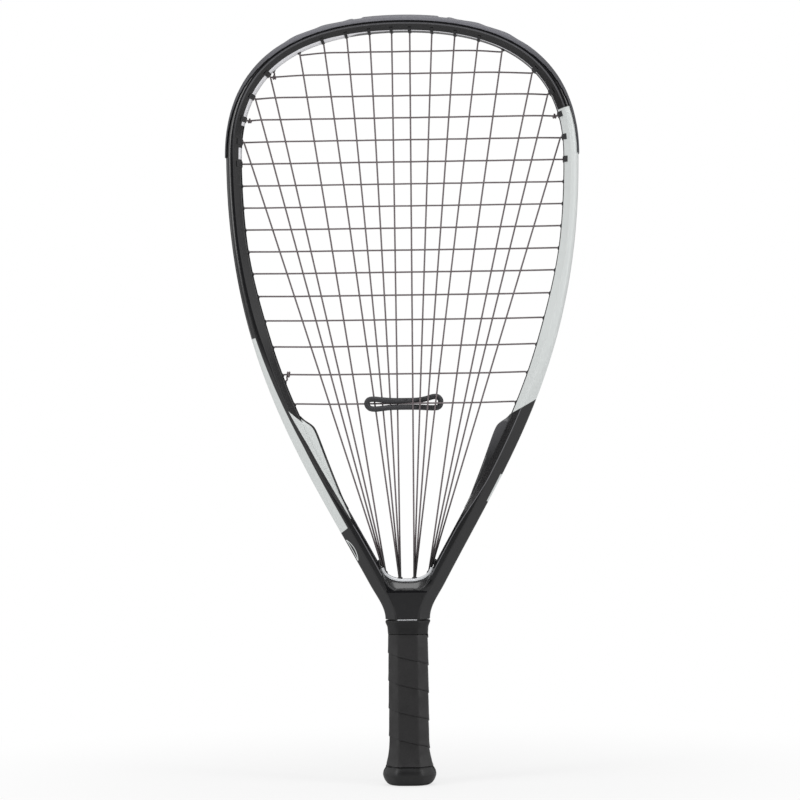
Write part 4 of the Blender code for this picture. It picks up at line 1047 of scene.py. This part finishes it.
def make_liner(colours):
    """A bent strip that lies in the saddle, its rim rounded, and the mouths of its four sleeves."""
    path = saddle_line(0.0)[8:-8]
    way = np.gradient(path, axis=0)
    way /= np.hypot(*way.T)[:, None]
    out = np.stack([-way[:, 1], way[:, 0]], axis=1)
    section = np.array(
        [
            (0.25, -4.4), (0.25, 4.4), (0.6, 4.7), (1.8, 4.7), (2.15, 4.4),
            (2.2, 4.0), (2.2, -4.0), (2.15, -4.4), (1.8, -4.7), (0.6, -4.7),
        ]
    )
    flat = path[:, None] + out[:, None] * section[None, :, :1]
    depth = np.broadcast_to(section[None, :, 1], flat.shape[:2])
    skin = Skin()
    skin.add(np.stack([flat[..., 0], depth, flat[..., 1]], axis=-1))
    finish = plastic_finish("liner_plastic", colours.liner, 0.32, 700.0, 0.00002, 0.03)
    obj = skin.build("liner", finish, 40.0)
    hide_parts("throat_liner")
    sleeves = Skin()
    for bundle in range(4):
        entry, way = bundle_axis(bundle)
        across = np.array([way[1], -way[0]])
        turn = np.arange(32) * math.tau / 32
        soft = (np.abs(np.cos(turn)) ** 6 + np.abs(np.sin(turn)) ** 6) ** (-1 / 6)
        above = 3.4 if bundle in (0, 3) else 3.0
        rows = []
        outside = ((6.0, 0.95), (0.35 - above, 0.95), (-above, 0.7))
        for along, grow in (*outside, (-above, 0.32), (0.3 - above, 0.2), (5.5, 0.2)):
            u = (BUNDLE_HALF_X + STRING_RADIUS + grow) * soft * np.cos(turn)
            v = (BUNDLE_LAYERS[3] + STRING_RADIUS + grow) * soft * np.sin(turn)
            flat = entry + way * along + across * u[:, None]
            rows.append(np.stack([flat[:, 0], v, flat[:, 1]], axis=1))
        sleeves.add(np.array(rows))
    finish = plastic_finish("sleeve_plastic", colours.strip, 0.4, 900.0, 0.00002)
    sleeves.build("liner_sleeves", finish, 40.0)


# Strings and dampener

def string_finish(name, colour):
    """Twisted nylon: a fine spiral of light and dark along the run, under a smooth skin."""
    finish = Finish(name, 0.36)
    run, turn = finish.value("run"), finish.value("turn")
    spiral = finish.math("SINE", finish.plus(finish.times(run, 4.2), turn))
    wave = finish.ramp(spiral, -1.0, 1.0)
    twisted, darkened_low = finish.shades(wave, colour, 0.8, 1.2), finish.shades(wave, colour, 0.1, 0.16)
    # The strings are drawn far darker below the top of the throat, near the bundles.
    finish.colour(finish.mix(finish.ramp(finish.axis("Z"), 0.157, 0.186), darkened_low, twisted))
    finish.rough(finish.ramp(finish.noise(500.0), 0.3, 0.7, 0.3, 0.42))
    finish.bump(spiral, 0.00001)
    return finish.material


def make_strings(colours):
    """Both strings as tubes along their rounded paths, with the run and the turn that draw the twist."""
    finish = string_finish("string_nylon", colours.string)
    for name, path in (("main", main_string_path()), ("cross", cross_string_path())):
        line = rounded(path, 3)
        skin = Skin()
        grid = tube_grid(line, STRING_RADIUS, STRING_SIDES)
        skin.add(grid, run=run_of(line)[:, None], turn=np.arange(STRING_SIDES) * math.tau / STRING_SIDES)
        obj = skin.build(name + "_strings", finish, 60.0)
        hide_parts(name + "_string")


DAMPENER_LOOP = (
    (0.0, 2.0), (9.0, 2.2), (15.0, 3.2), (20.0, 4.6), (23.4, 4.5), (25.4, 2.6), (25.7, 0.4), (25.0, -2.0),
    (22.8, -3.3), (18.0, -3.4), (10.0, -2.9), (0.0, -2.7), (-10.0, -2.8), (-16.0, -3.4), (-21.5, -3.9),
    (-25.4, -3.3), (-27.4, -1.2), (-27.6, 1.0), (-26.0, 2.9), (-22.5, 3.3), (-16.0, 2.6), (-9.0, 2.1),
)


def dampener_path():
    """A closed loop round the lowest cross string, in front of the left mains and behind the right ones."""
    row = cross_height(CROSSES - 1)
    inner = main_x(MAINS // 2, row) + 0.5
    x, rise = np.array(DAMPENER_LOOP).T
    return np.stack([x, 3.35 * np.clip(x / inner, -1.0, 1.0), row + rise], axis=1)


def loop_grid(path, radius, sides):
    """Circles round a closed path: each one's first axis is y with its share along the path taken off."""
    way = np.roll(path, -1, axis=0) - np.roll(path, 1, axis=0)
    way /= np.linalg.norm(way, axis=1, keepdims=True)
    first = np.array([0.0, 1.0, 0.0]) - way * way[:, 1:2]
    first /= np.linalg.norm(first, axis=1, keepdims=True)
    return rings_about(path, way, first, radius, sides)


def closed_spline(points, per_span):
    """A smooth closed line: the Catmull-Rom rule over points repeated past both ends."""
    count = len(points)
    around = np.concatenate([points[-2:], points, points[:2]])
    return spline(around, per_span)[2 * per_span : (2 + count) * per_span]


def make_dampener(colours, sizes):
    """The rubber loop, ribbed along its run, the points on its seam made one."""
    line = closed_spline(dampener_path(), 8)
    grid = loop_grid(line, sizes.dampener_thickness / MM / 2, 16)
    run = run_of(np.concatenate([line, line[:1]]))
    skin = Skin()
    closed = np.concatenate([grid, grid[:1]])
    skin.add(closed, caps=False, run=run[:, None])
    finish = Finish("dampener_rubber", 0.55)
    finish.colour(finish.shades(finish.noise(220.0), colours.dampener, 0.8, 1.25))
    ribs = finish.math("SINE", finish.times(finish.value("run"), math.tau / 1.3))
    finish.bump(ribs, 0.00006, 0.8)
    obj = skin.build("dampener_loop", finish.material, 60.0)
    face_outwards(obj.data, 0.000001)
    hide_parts("dampener")


# Handle

def flare(height):
    """How far the handle widens towards the butt cap: the square of the way down."""
    return FLARE * np.clip((32.0 - height) / (32.0 - CAP_HEIGHT), 0.0, None) ** 2


def grip_reach(angle, move):
    """Distance from the handle's axis to its eight softened walls, each moved out by the same amount."""
    walls = walls_of(GRIP_HALF_WIDTH, GRIP_HALF_DEPTH, GRIP_BEVEL)
    return eight_walls(angle, walls + np.asarray(move)[..., None], 30.0)


TAPE_END = 1.4
TAPE_RUN = 88.0


def tape_grid(turn_height):
    """A strip wound up the handle: a flat section carried along a helix, its lower edge over the turn below."""
    bottom, top = CAP_HEIGHT + 0.3, GRIP_TOP
    half = turn_height / 2 + 0.5
    section = np.array(
        [
            (-half, -1.6), (-half - 0.02, -0.1), (-half + 0.12, 0.22), (-half + 0.5, 0.36), (-half + 1.4, 0.3),
            (-half / 2, 0.12), (0.0, 0.04), (half / 2, -0.04), (half - 2.2, -0.14), (half - 1.2, -0.3),
            (half - 0.4, -0.62), (half, -1.0), (half, -1.6),
        ]
    )
    start = (bottom + TAPE_END - half - bottom) / turn_height
    end = (top - TAPE_END + half - bottom) / turn_height
    way = np.linspace(start, end, int((end - start) * 96))
    angle = 0.95 - way * math.tau
    height = bottom + way[:, None] * turn_height + section[None, :, 0]
    height = np.clip(height, bottom, top)
    move = section[None, :, 1] + flare(height)
    reach = grip_reach(np.broadcast_to(angle[:, None], height.shape), move)
    grid = np.stack([reach * np.cos(angle)[:, None], reach * np.sin(angle)[:, None], height], axis=-1)
    return grid, way, section


def make_grip(colours, sizes):
    grid, way, section = tape_grid(sizes.tape_turn / MM)
    skin = Skin()
    skin.add(grid, run=way[:, None] * TAPE_RUN, across=section[None, :, 0])
    finish = Finish("tape_rubber", 0.56, specular=0.45)
    finish.colour(finish.shades(finish.noise(55.0, 5.0), colours.tape, 0.82, 1.2))
    finish.rough(finish.ramp(finish.noise(90.0, 4.0), 0.3, 0.7, 0.48, 0.66))
    run, across = finish.value("run"), finish.value("across")
    bars = finish.math("FRACT", finish.math("DIVIDE", finish.plus(run, finish.times(across, 0.35)), 7.3))
    in_strip = finish.ramp(finish.math("ABSOLUTE", across), 5.2, 4.9)
    outline = finish.times(in_strip, finish.less(finish.ramp(bars, 0.08, 0.13), finish.ramp(bars, 0.62, 0.67)))
    height = finish.plus(finish.times(outline, 0.12), finish.times(finish.noise(1300.0), 0.25))
    finish.bump(height, 0.0002)
    obj = skin.build("grip_wrap", finish.material, 40.0)
    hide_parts("grip_tape")


COLLAR_PROFILE = (
    (109.5, -3.9), (109.5, -0.35), (110.0, 0.1), (112.0, 0.3), (114.6, 0.5), (116.6, 1.25),
    (118.0, 1.8), (118.9, 1.75), (119.35, 1.1), (119.4, -1.0), (119.4, -3.9),
)
BEAD_PROFILE = ((119.45, -3.0), (119.5, -0.8), (119.75, -0.25), (120.05, -0.25), (120.3, -0.8), (120.35, -3.0))


def collar_rings(profile):
    return np.array([grip_ring(move, height, 22.0) for height, move in spline(profile, 4)])


def make_collar(colours):
    """The collar and the bead above it, whose front and back carry a painted highlight."""
    skin = Skin()
    skin.add(collar_rings(COLLAR_PROFILE))
    finish = plastic_finish("collar_rubber", colours.collar, 0.5, 1200.0, 0.00003, specular=0.35)
    obj = skin.build("collar", finish, 50.0)
    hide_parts("grip_collar")
    skin = Skin()
    rings = collar_rings(BEAD_PROFILE)
    skin.add(rings, middle=np.abs(rings[..., 0]))
    finish = Finish("bead_lacquer", 0.12, coat=0.5)
    drift = finish.noise(200.0)
    # Painted highlight: the bead is drawn light grey at its front and back and dark lacquer at its sides.
    dark, painted_highlight = finish.shades(drift, colours.lacquer, 0.8, 1.2), finish.shades(drift, colours.liner, 0.7, 0.85)
    finish.colour(finish.mix(finish.ramp(finish.value("middle"), 6.6, 7.6), painted_highlight, dark))
    finish.bump(finish.noise(300.0), 0.000005)
    skin.build("neck_bead", finish.material, 50.0)


def make_cap(colours):
    """Rings from the lanyard hole round its lip and over the butt end up to the tape: circles, then octagons."""
    wide = CAP_HALF_WIDTH - GRIP_HALF_WIDTH
    turn = np.arange(RING_POINTS) * math.tau / RING_POINTS
    circle = np.stack([np.cos(turn), np.sin(turn)], axis=1)
    lip = ((LANYARD_RADIUS, 12.0), (LANYARD_RADIUS, 1.2), (3.62, 0.5), (3.95, 0.12), (4.5, 0.0), (6.5, 0.0))
    rings = [np.column_stack([circle * radius, np.full(RING_POINTS, height)]) for radius, height in lip]
    steps = [(0.0, 6.0), (0.3, 4.9), (0.9, 3.8), (1.9, 2.6), (3.2, 1.6), (4.8, 0.8), (6.4, 0.2), (8.0, 0.0),
             (10.0, 0.4), (11.6, 1.2), (12.7, 1.9), (13.4, 2.35), (13.7, 2.7)]
    for height, drop in spline(steps, 3):
        move = wide - drop
        half_depth = GRIP_HALF_DEPTH + move - CAP_SHORTER * move / wide
        rings.append(rounded_octagon(GRIP_HALF_WIDTH + move, half_depth, GRIP_BEVEL + 0.7 * move, height, 13.0))
    rings += [grip_ring(-2.0, 13.75), grip_ring(-3.0, 20.0)]
    skin = Skin()
    skin.add(np.array(rings))
    finish = plastic_finish("cap_rubber", colours.cap, 0.38, 1100.0, 0.00002, specular=0.35)
    obj = skin.build("butt_end_cap", finish, 45.0)
    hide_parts("butt_cap")


def finish_fittings():
    """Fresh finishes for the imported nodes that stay: the anchor rod, the handle's sleeve, the plug and the tacks."""
    nodes = frame["nodes"]
    steel = metal_finish("tack_steel", srgb(196, 196, 200))
    rod = metal_finish("rod_steel", srgb(170, 172, 176))
    sleeve = plastic_finish("sleeve_rubber", srgb(58, 58, 60), 0.7, 500.0, 0.00005)
    foam = plastic_finish("plug_foam", srgb(150, 146, 134), 0.95, 350.0, 0.0004)
    worn = {"string_anchor": rod, "handle_sleeve": sleeve, "handle_plug": foam}
    worn.update({"cap_tack_" + side: steel for side in ("right", "back", "left", "front")})
    for name, finish in worn.items():
        nodes[name].data.materials.clear()
        nodes[name].data.materials.append(finish)


# Stage

def make_camera():
    """A long lens at mid height: 0.7268 mm a pixel at the string bed, and the racket leans left."""
    scale, away, sensor, pixels = 0.7268, 2500.0, 36.0, 800
    yaw, roll = math.radians(2.4), math.radians(0.7)
    target = Vector((-3.75, 0.0, 279.2)) * MM
    back = Vector((math.sin(yaw), -math.cos(yaw), 0.0))
    side = Vector((math.cos(yaw), math.sin(yaw), 0.0))
    up = Vector((0.0, 0.0, 1.0))
    right = side * math.cos(roll) - up * math.sin(roll)
    above = side * math.sin(roll) + up * math.cos(roll)
    data = bpy.data.cameras.new("camera")
    data.sensor_width = sensor
    data.lens = sensor * away / (scale * pixels)
    camera = bpy.data.objects.new("camera", data)
    bpy.context.scene.collection.objects.link(camera)
    place_at = Matrix((right, above, back)).transposed().to_4x4()
    place_at.translation = target + back * away * MM
    camera.matrix_world = place_at
    bpy.context.scene.camera = camera


def make_lamp(name, place_at, size, power):
    data = bpy.data.lights.new(name, "AREA")
    data.shape = "RECTANGLE"
    data.size, data.size_y = size
    data.energy = power
    lamp = bpy.data.objects.new(name, data)
    bpy.context.scene.collection.objects.link(lamp)
    lamp.location = place_at
    lamp.rotation_euler = (Vector((0.0, 0.0, 0.3)) - Vector(place_at)).to_track_quat("-Z", "Y").to_euler()
    lamp.visible_camera = False


def make_world():
    """White for the camera, for reflections and for what shows through, and a dimmer white for the light it gives."""
    world = bpy.data.worlds.new("white_tent")
    world.use_nodes = True
    nodes, links = world.node_tree.nodes, world.node_tree.links
    path = nodes.new("ShaderNodeLightPath")
    seen = path.outputs["Is Camera Ray"]
    for ray in ("Is Glossy Ray", "Is Transmission Ray"):
        either = nodes.new("ShaderNodeMath")
        either.operation = "MAXIMUM"
        links.new(seen, either.inputs[0])
        links.new(path.outputs[ray], either.inputs[1])
        seen = either.outputs[0]
    level = nodes.new("ShaderNodeMapRange")
    level.inputs["To Min"].default_value = 0.55
    level.inputs["To Max"].default_value = 1.0
    links.new(seen, level.inputs["Value"])
    links.new(level.outputs["Result"], nodes["Background"].inputs["Strength"])
    nodes["Background"].inputs["Color"].default_value = (1.0, 1.0, 1.0, 1.0)
    bpy.context.scene.world = world


def stage_plane(name, corners, finish):
    mesh = bpy.data.meshes.new(name)
    mesh.from_pydata(corners, [], [(0, 1, 2, 3)])
    mesh.materials.append(finish)
    obj = bpy.data.objects.new(name, mesh)
    bpy.context.scene.collection.objects.link(obj)
    return obj


def floor_finish():
    """A pale floor that the camera sees near white, with some of its own shade left for the shadow."""
    finish = Finish("floor_paper", 0.9, specular=0.1)
    finish.colour(finish.mix(finish.noise(3.0), (0.86, 0.86, 0.86), (0.88, 0.88, 0.88)))
    glow = finish.nodes.new("ShaderNodeEmission")
    glow.inputs["Color"].default_value = (1.0, 1.0, 1.0, 1.0)
    path = finish.nodes.new("ShaderNodeLightPath")
    far = finish.nodes.new("ShaderNodeVectorMath")
    far.operation = "LENGTH"
    finish.links.new(finish.place, far.inputs[0])
    share = finish.ramp(far.outputs["Value"], 0.08, 0.5, 0.72, 1.0)
    blend = finish.nodes.new("ShaderNodeMixShader")
    finish.links.new(finish.times(path.outputs["Is Camera Ray"], share), blend.inputs[0])
    finish.links.new(finish.shader.outputs[0], blend.inputs[1])
    finish.links.new(glow.outputs[0], blend.inputs[2])
    finish.links.new(blend.outputs[0], finish.nodes["Material Output"].inputs["Surface"])
    return finish.material


def make_stage():
    """Camera, white surround, pale floor, two dark cards that show only in reflections, and three soft lamps."""
    make_camera()
    make_world()
    reach, low = 6.0, -0.0003
    corners = [(-reach, -reach, low), (reach, -reach, low), (reach, reach, low), (-reach, reach, low)]
    stage_plane("floor", corners, floor_finish())
    dark = plastic_finish("card_black", (0.012, 0.012, 0.012), 0.9)
    for name, away in (("card_front", -3.4), ("card_back", 3.4)):
        corners = [(-3.2, away, -2.2), (3.2, away, -2.2), (3.2, away, 2.8), (-3.2, away, 2.8)]
        card = stage_plane(name, corners, dark)
        card.visible_camera = False
        card.visible_diffuse = False
        card.visible_shadow = False
        card.visible_transmission = False
    make_lamp("left_box", (-1.5, -1.3, 0.9), (0.5, 1.4), 10.5)
    make_lamp("right_box", (1.6, -1.0, 0.7), (0.4, 1.4), 8.0)
    make_lamp("top_box", (0.0, -0.5, 1.9), (1.4, 0.6), 9.5)
    bpy.context.scene.view_settings.view_transform = "Standard"


# Add-on

def tint(name, description, colour):
    return bpy.props.FloatVectorProperty(
        name=name, description=description, subtype="COLOR", size=3, min=0.0, max=1.0, default=colour
    )


def length(name, description, default, low, high):
    return bpy.props.FloatProperty(
        name=name, description=description, default=default, min=low, max=high, unit="LENGTH", subtype="DISTANCE"
    )


class RacketColours(bpy.types.PropertyGroup):
    """Colours of the racket's finishes."""

    lacquer: tint("Lacquer", "Black lacquer of the frame", srgb(17, 17, 19))
    # Painted highlight along the frame's ridges and the right fin's top, not a colour of the lacquer itself.
    ridge_highlight: tint("Crest lines", "Painted highlight along the frame's ridges", srgb(96, 96, 99))
    panel: tint("Panels", "Pale painted panels of the limbs", srgb(214, 218, 217))
    inner_wall: tint("Inner wall", "Paint of the crown's inner wall", srgb(232, 232, 236))
    guard: tint("Guard", "Bumper guard over the crown", srgb(66, 66, 70))
    strip: tint("Strips", "Grommet strips and string sleeves", srgb(30, 30, 32))
    liner: tint("Liner", "Strip in the throat's saddle", srgb(226, 228, 231))
    string: tint("Strings", "String bed", srgb(104, 95, 97))
    dampener: tint("Dampener", "Rubber loop in the strings", srgb(46, 46, 49))
    tape: tint("Grip", "Wound grip tape", srgb(27, 26, 27))
    collar: tint("Collar", "Rubber collar above the grip", srgb(15, 15, 16))
    cap: tint("Butt cap", "Cap at the end of the handle", srgb(28, 28, 29))


class RacketSizes(bpy.types.PropertyGroup):
    """Sizes of the wound and bound pieces."""

    tape_turn: length("Tape turn", "Height that one turn of the grip tape climbs", 0.0201, 0.012, 0.03)
    dampener_thickness: length("Dampener thickness", "Diameter of the dampener's cord", 0.004, 0.002, 0.005)


class RACKET_OT_frame(bpy.types.Operator):
    """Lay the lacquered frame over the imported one"""

    bl_idname = "racket.frame"
    bl_label = "Frame"

    def execute(self, context):
        make_frame(context.scene.racket_colours)
        return {"FINISHED"}


class RACKET_OT_guards(bpy.types.Operator):
    """Lay the bumper guard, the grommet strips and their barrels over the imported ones"""

    bl_idname = "racket.guards"
    bl_label = "Guard and grommets"

    def execute(self, context):
        make_guard(context.scene.racket_colours)
        make_strips(context.scene.racket_colours)
        return {"FINISHED"}


class RACKET_OT_rails(bpy.types.Operator):
    """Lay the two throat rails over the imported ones"""

    bl_idname = "racket.rails"
    bl_label = "Throat rails"

    def execute(self, context):
        make_rails(context.scene.racket_colours)
        return {"FINISHED"}


class RACKET_OT_liner(bpy.types.Operator):
    """Lay the throat liner and its string sleeves in the saddle"""

    bl_idname = "racket.liner"
    bl_label = "Throat liner"

    def execute(self, context):
        make_liner(context.scene.racket_colours)
        return {"FINISHED"}


class RACKET_OT_strings(bpy.types.Operator):
    """Weave the main and cross strings"""

    bl_idname = "racket.strings"
    bl_label = "Strings"

    def execute(self, context):
        make_strings(context.scene.racket_colours)
        return {"FINISHED"}


class RACKET_OT_dampener(bpy.types.Operator):
    """Thread the rubber loop round the lowest cross string"""

    bl_idname = "racket.dampener"
    bl_label = "Dampener"

    def execute(self, context):
        make_dampener(context.scene.racket_colours, context.scene.racket_sizes)
        return {"FINISHED"}


class RACKET_OT_grip(bpy.types.Operator):
    """Wind the grip tape up the handle"""

    bl_idname = "racket.grip"
    bl_label = "Grip tape"

    def execute(self, context):
        make_grip(context.scene.racket_colours, context.scene.racket_sizes)
        return {"FINISHED"}


class RACKET_OT_collar(bpy.types.Operator):
    """Put the collar and the bead on the neck"""

    bl_idname = "racket.collar"
    bl_label = "Collar"

    def execute(self, context):
        make_collar(context.scene.racket_colours)
        return {"FINISHED"}


class RACKET_OT_cap(bpy.types.Operator):
    """Put the cap with its lanyard hole on the butt end"""

    bl_idname = "racket.cap"
    bl_label = "Butt cap"

    def execute(self, context):
        make_cap(context.scene.racket_colours)
        return {"FINISHED"}


class RACKET_OT_fittings(bpy.types.Operator):
    """Finish the fittings inside the handle and the throat"""

    bl_idname = "racket.fittings"
    bl_label = "Inner fittings"

    def execute(self, context):
        finish_fittings()
        return {"FINISHED"}


class RACKET_OT_stage(bpy.types.Operator):
    """Set up the camera, the floor and the soft light"""

    bl_idname = "racket.stage"
    bl_label = "Stage"

    def execute(self, context):
        make_stage()
        return {"FINISHED"}


OPERATORS = (
    RACKET_OT_stage,
    RACKET_OT_frame,
    RACKET_OT_guards,
    RACKET_OT_rails,
    RACKET_OT_liner,
    RACKET_OT_strings,
    RACKET_OT_dampener,
    RACKET_OT_grip,
    RACKET_OT_collar,
    RACKET_OT_cap,
    RACKET_OT_fittings,
)


class RACKET_PT_pieces(bpy.types.Panel):
    """Pieces, colours and sizes of the racket"""

    bl_idname = "RACKET_PT_pieces"
    bl_label = "Racket"
    bl_space_type = "VIEW_3D"
    bl_region_type = "UI"
    bl_category = "Racket"

    def draw(self, context):
        for operator in OPERATORS:
            self.layout.operator(operator.bl_idname)
        for group in (context.scene.racket_colours, context.scene.racket_sizes):
            for name in group.__annotations__:
                self.layout.prop(group, name)


CLASSES = (RacketColours, RacketSizes, *OPERATORS, RACKET_PT_pieces)


def register():
    for each in CLASSES:
        bpy.utils.register_class(each)
    bpy.types.Scene.racket_colours = bpy.props.PointerProperty(type=RacketColours)
    bpy.types.Scene.racket_sizes = bpy.props.PointerProperty(type=RacketSizes)


def unregister():
    del bpy.types.Scene.racket_sizes
    del bpy.types.Scene.racket_colours
    for each in reversed(CLASSES):
        bpy.utils.unregister_class(each)


def main():
    register()
    for operator in OPERATORS:
        family, name = operator.bl_idname.split(".")
        getattr(getattr(bpy.ops, family), name)()
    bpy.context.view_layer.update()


if __name__ == "__main__":
    main()
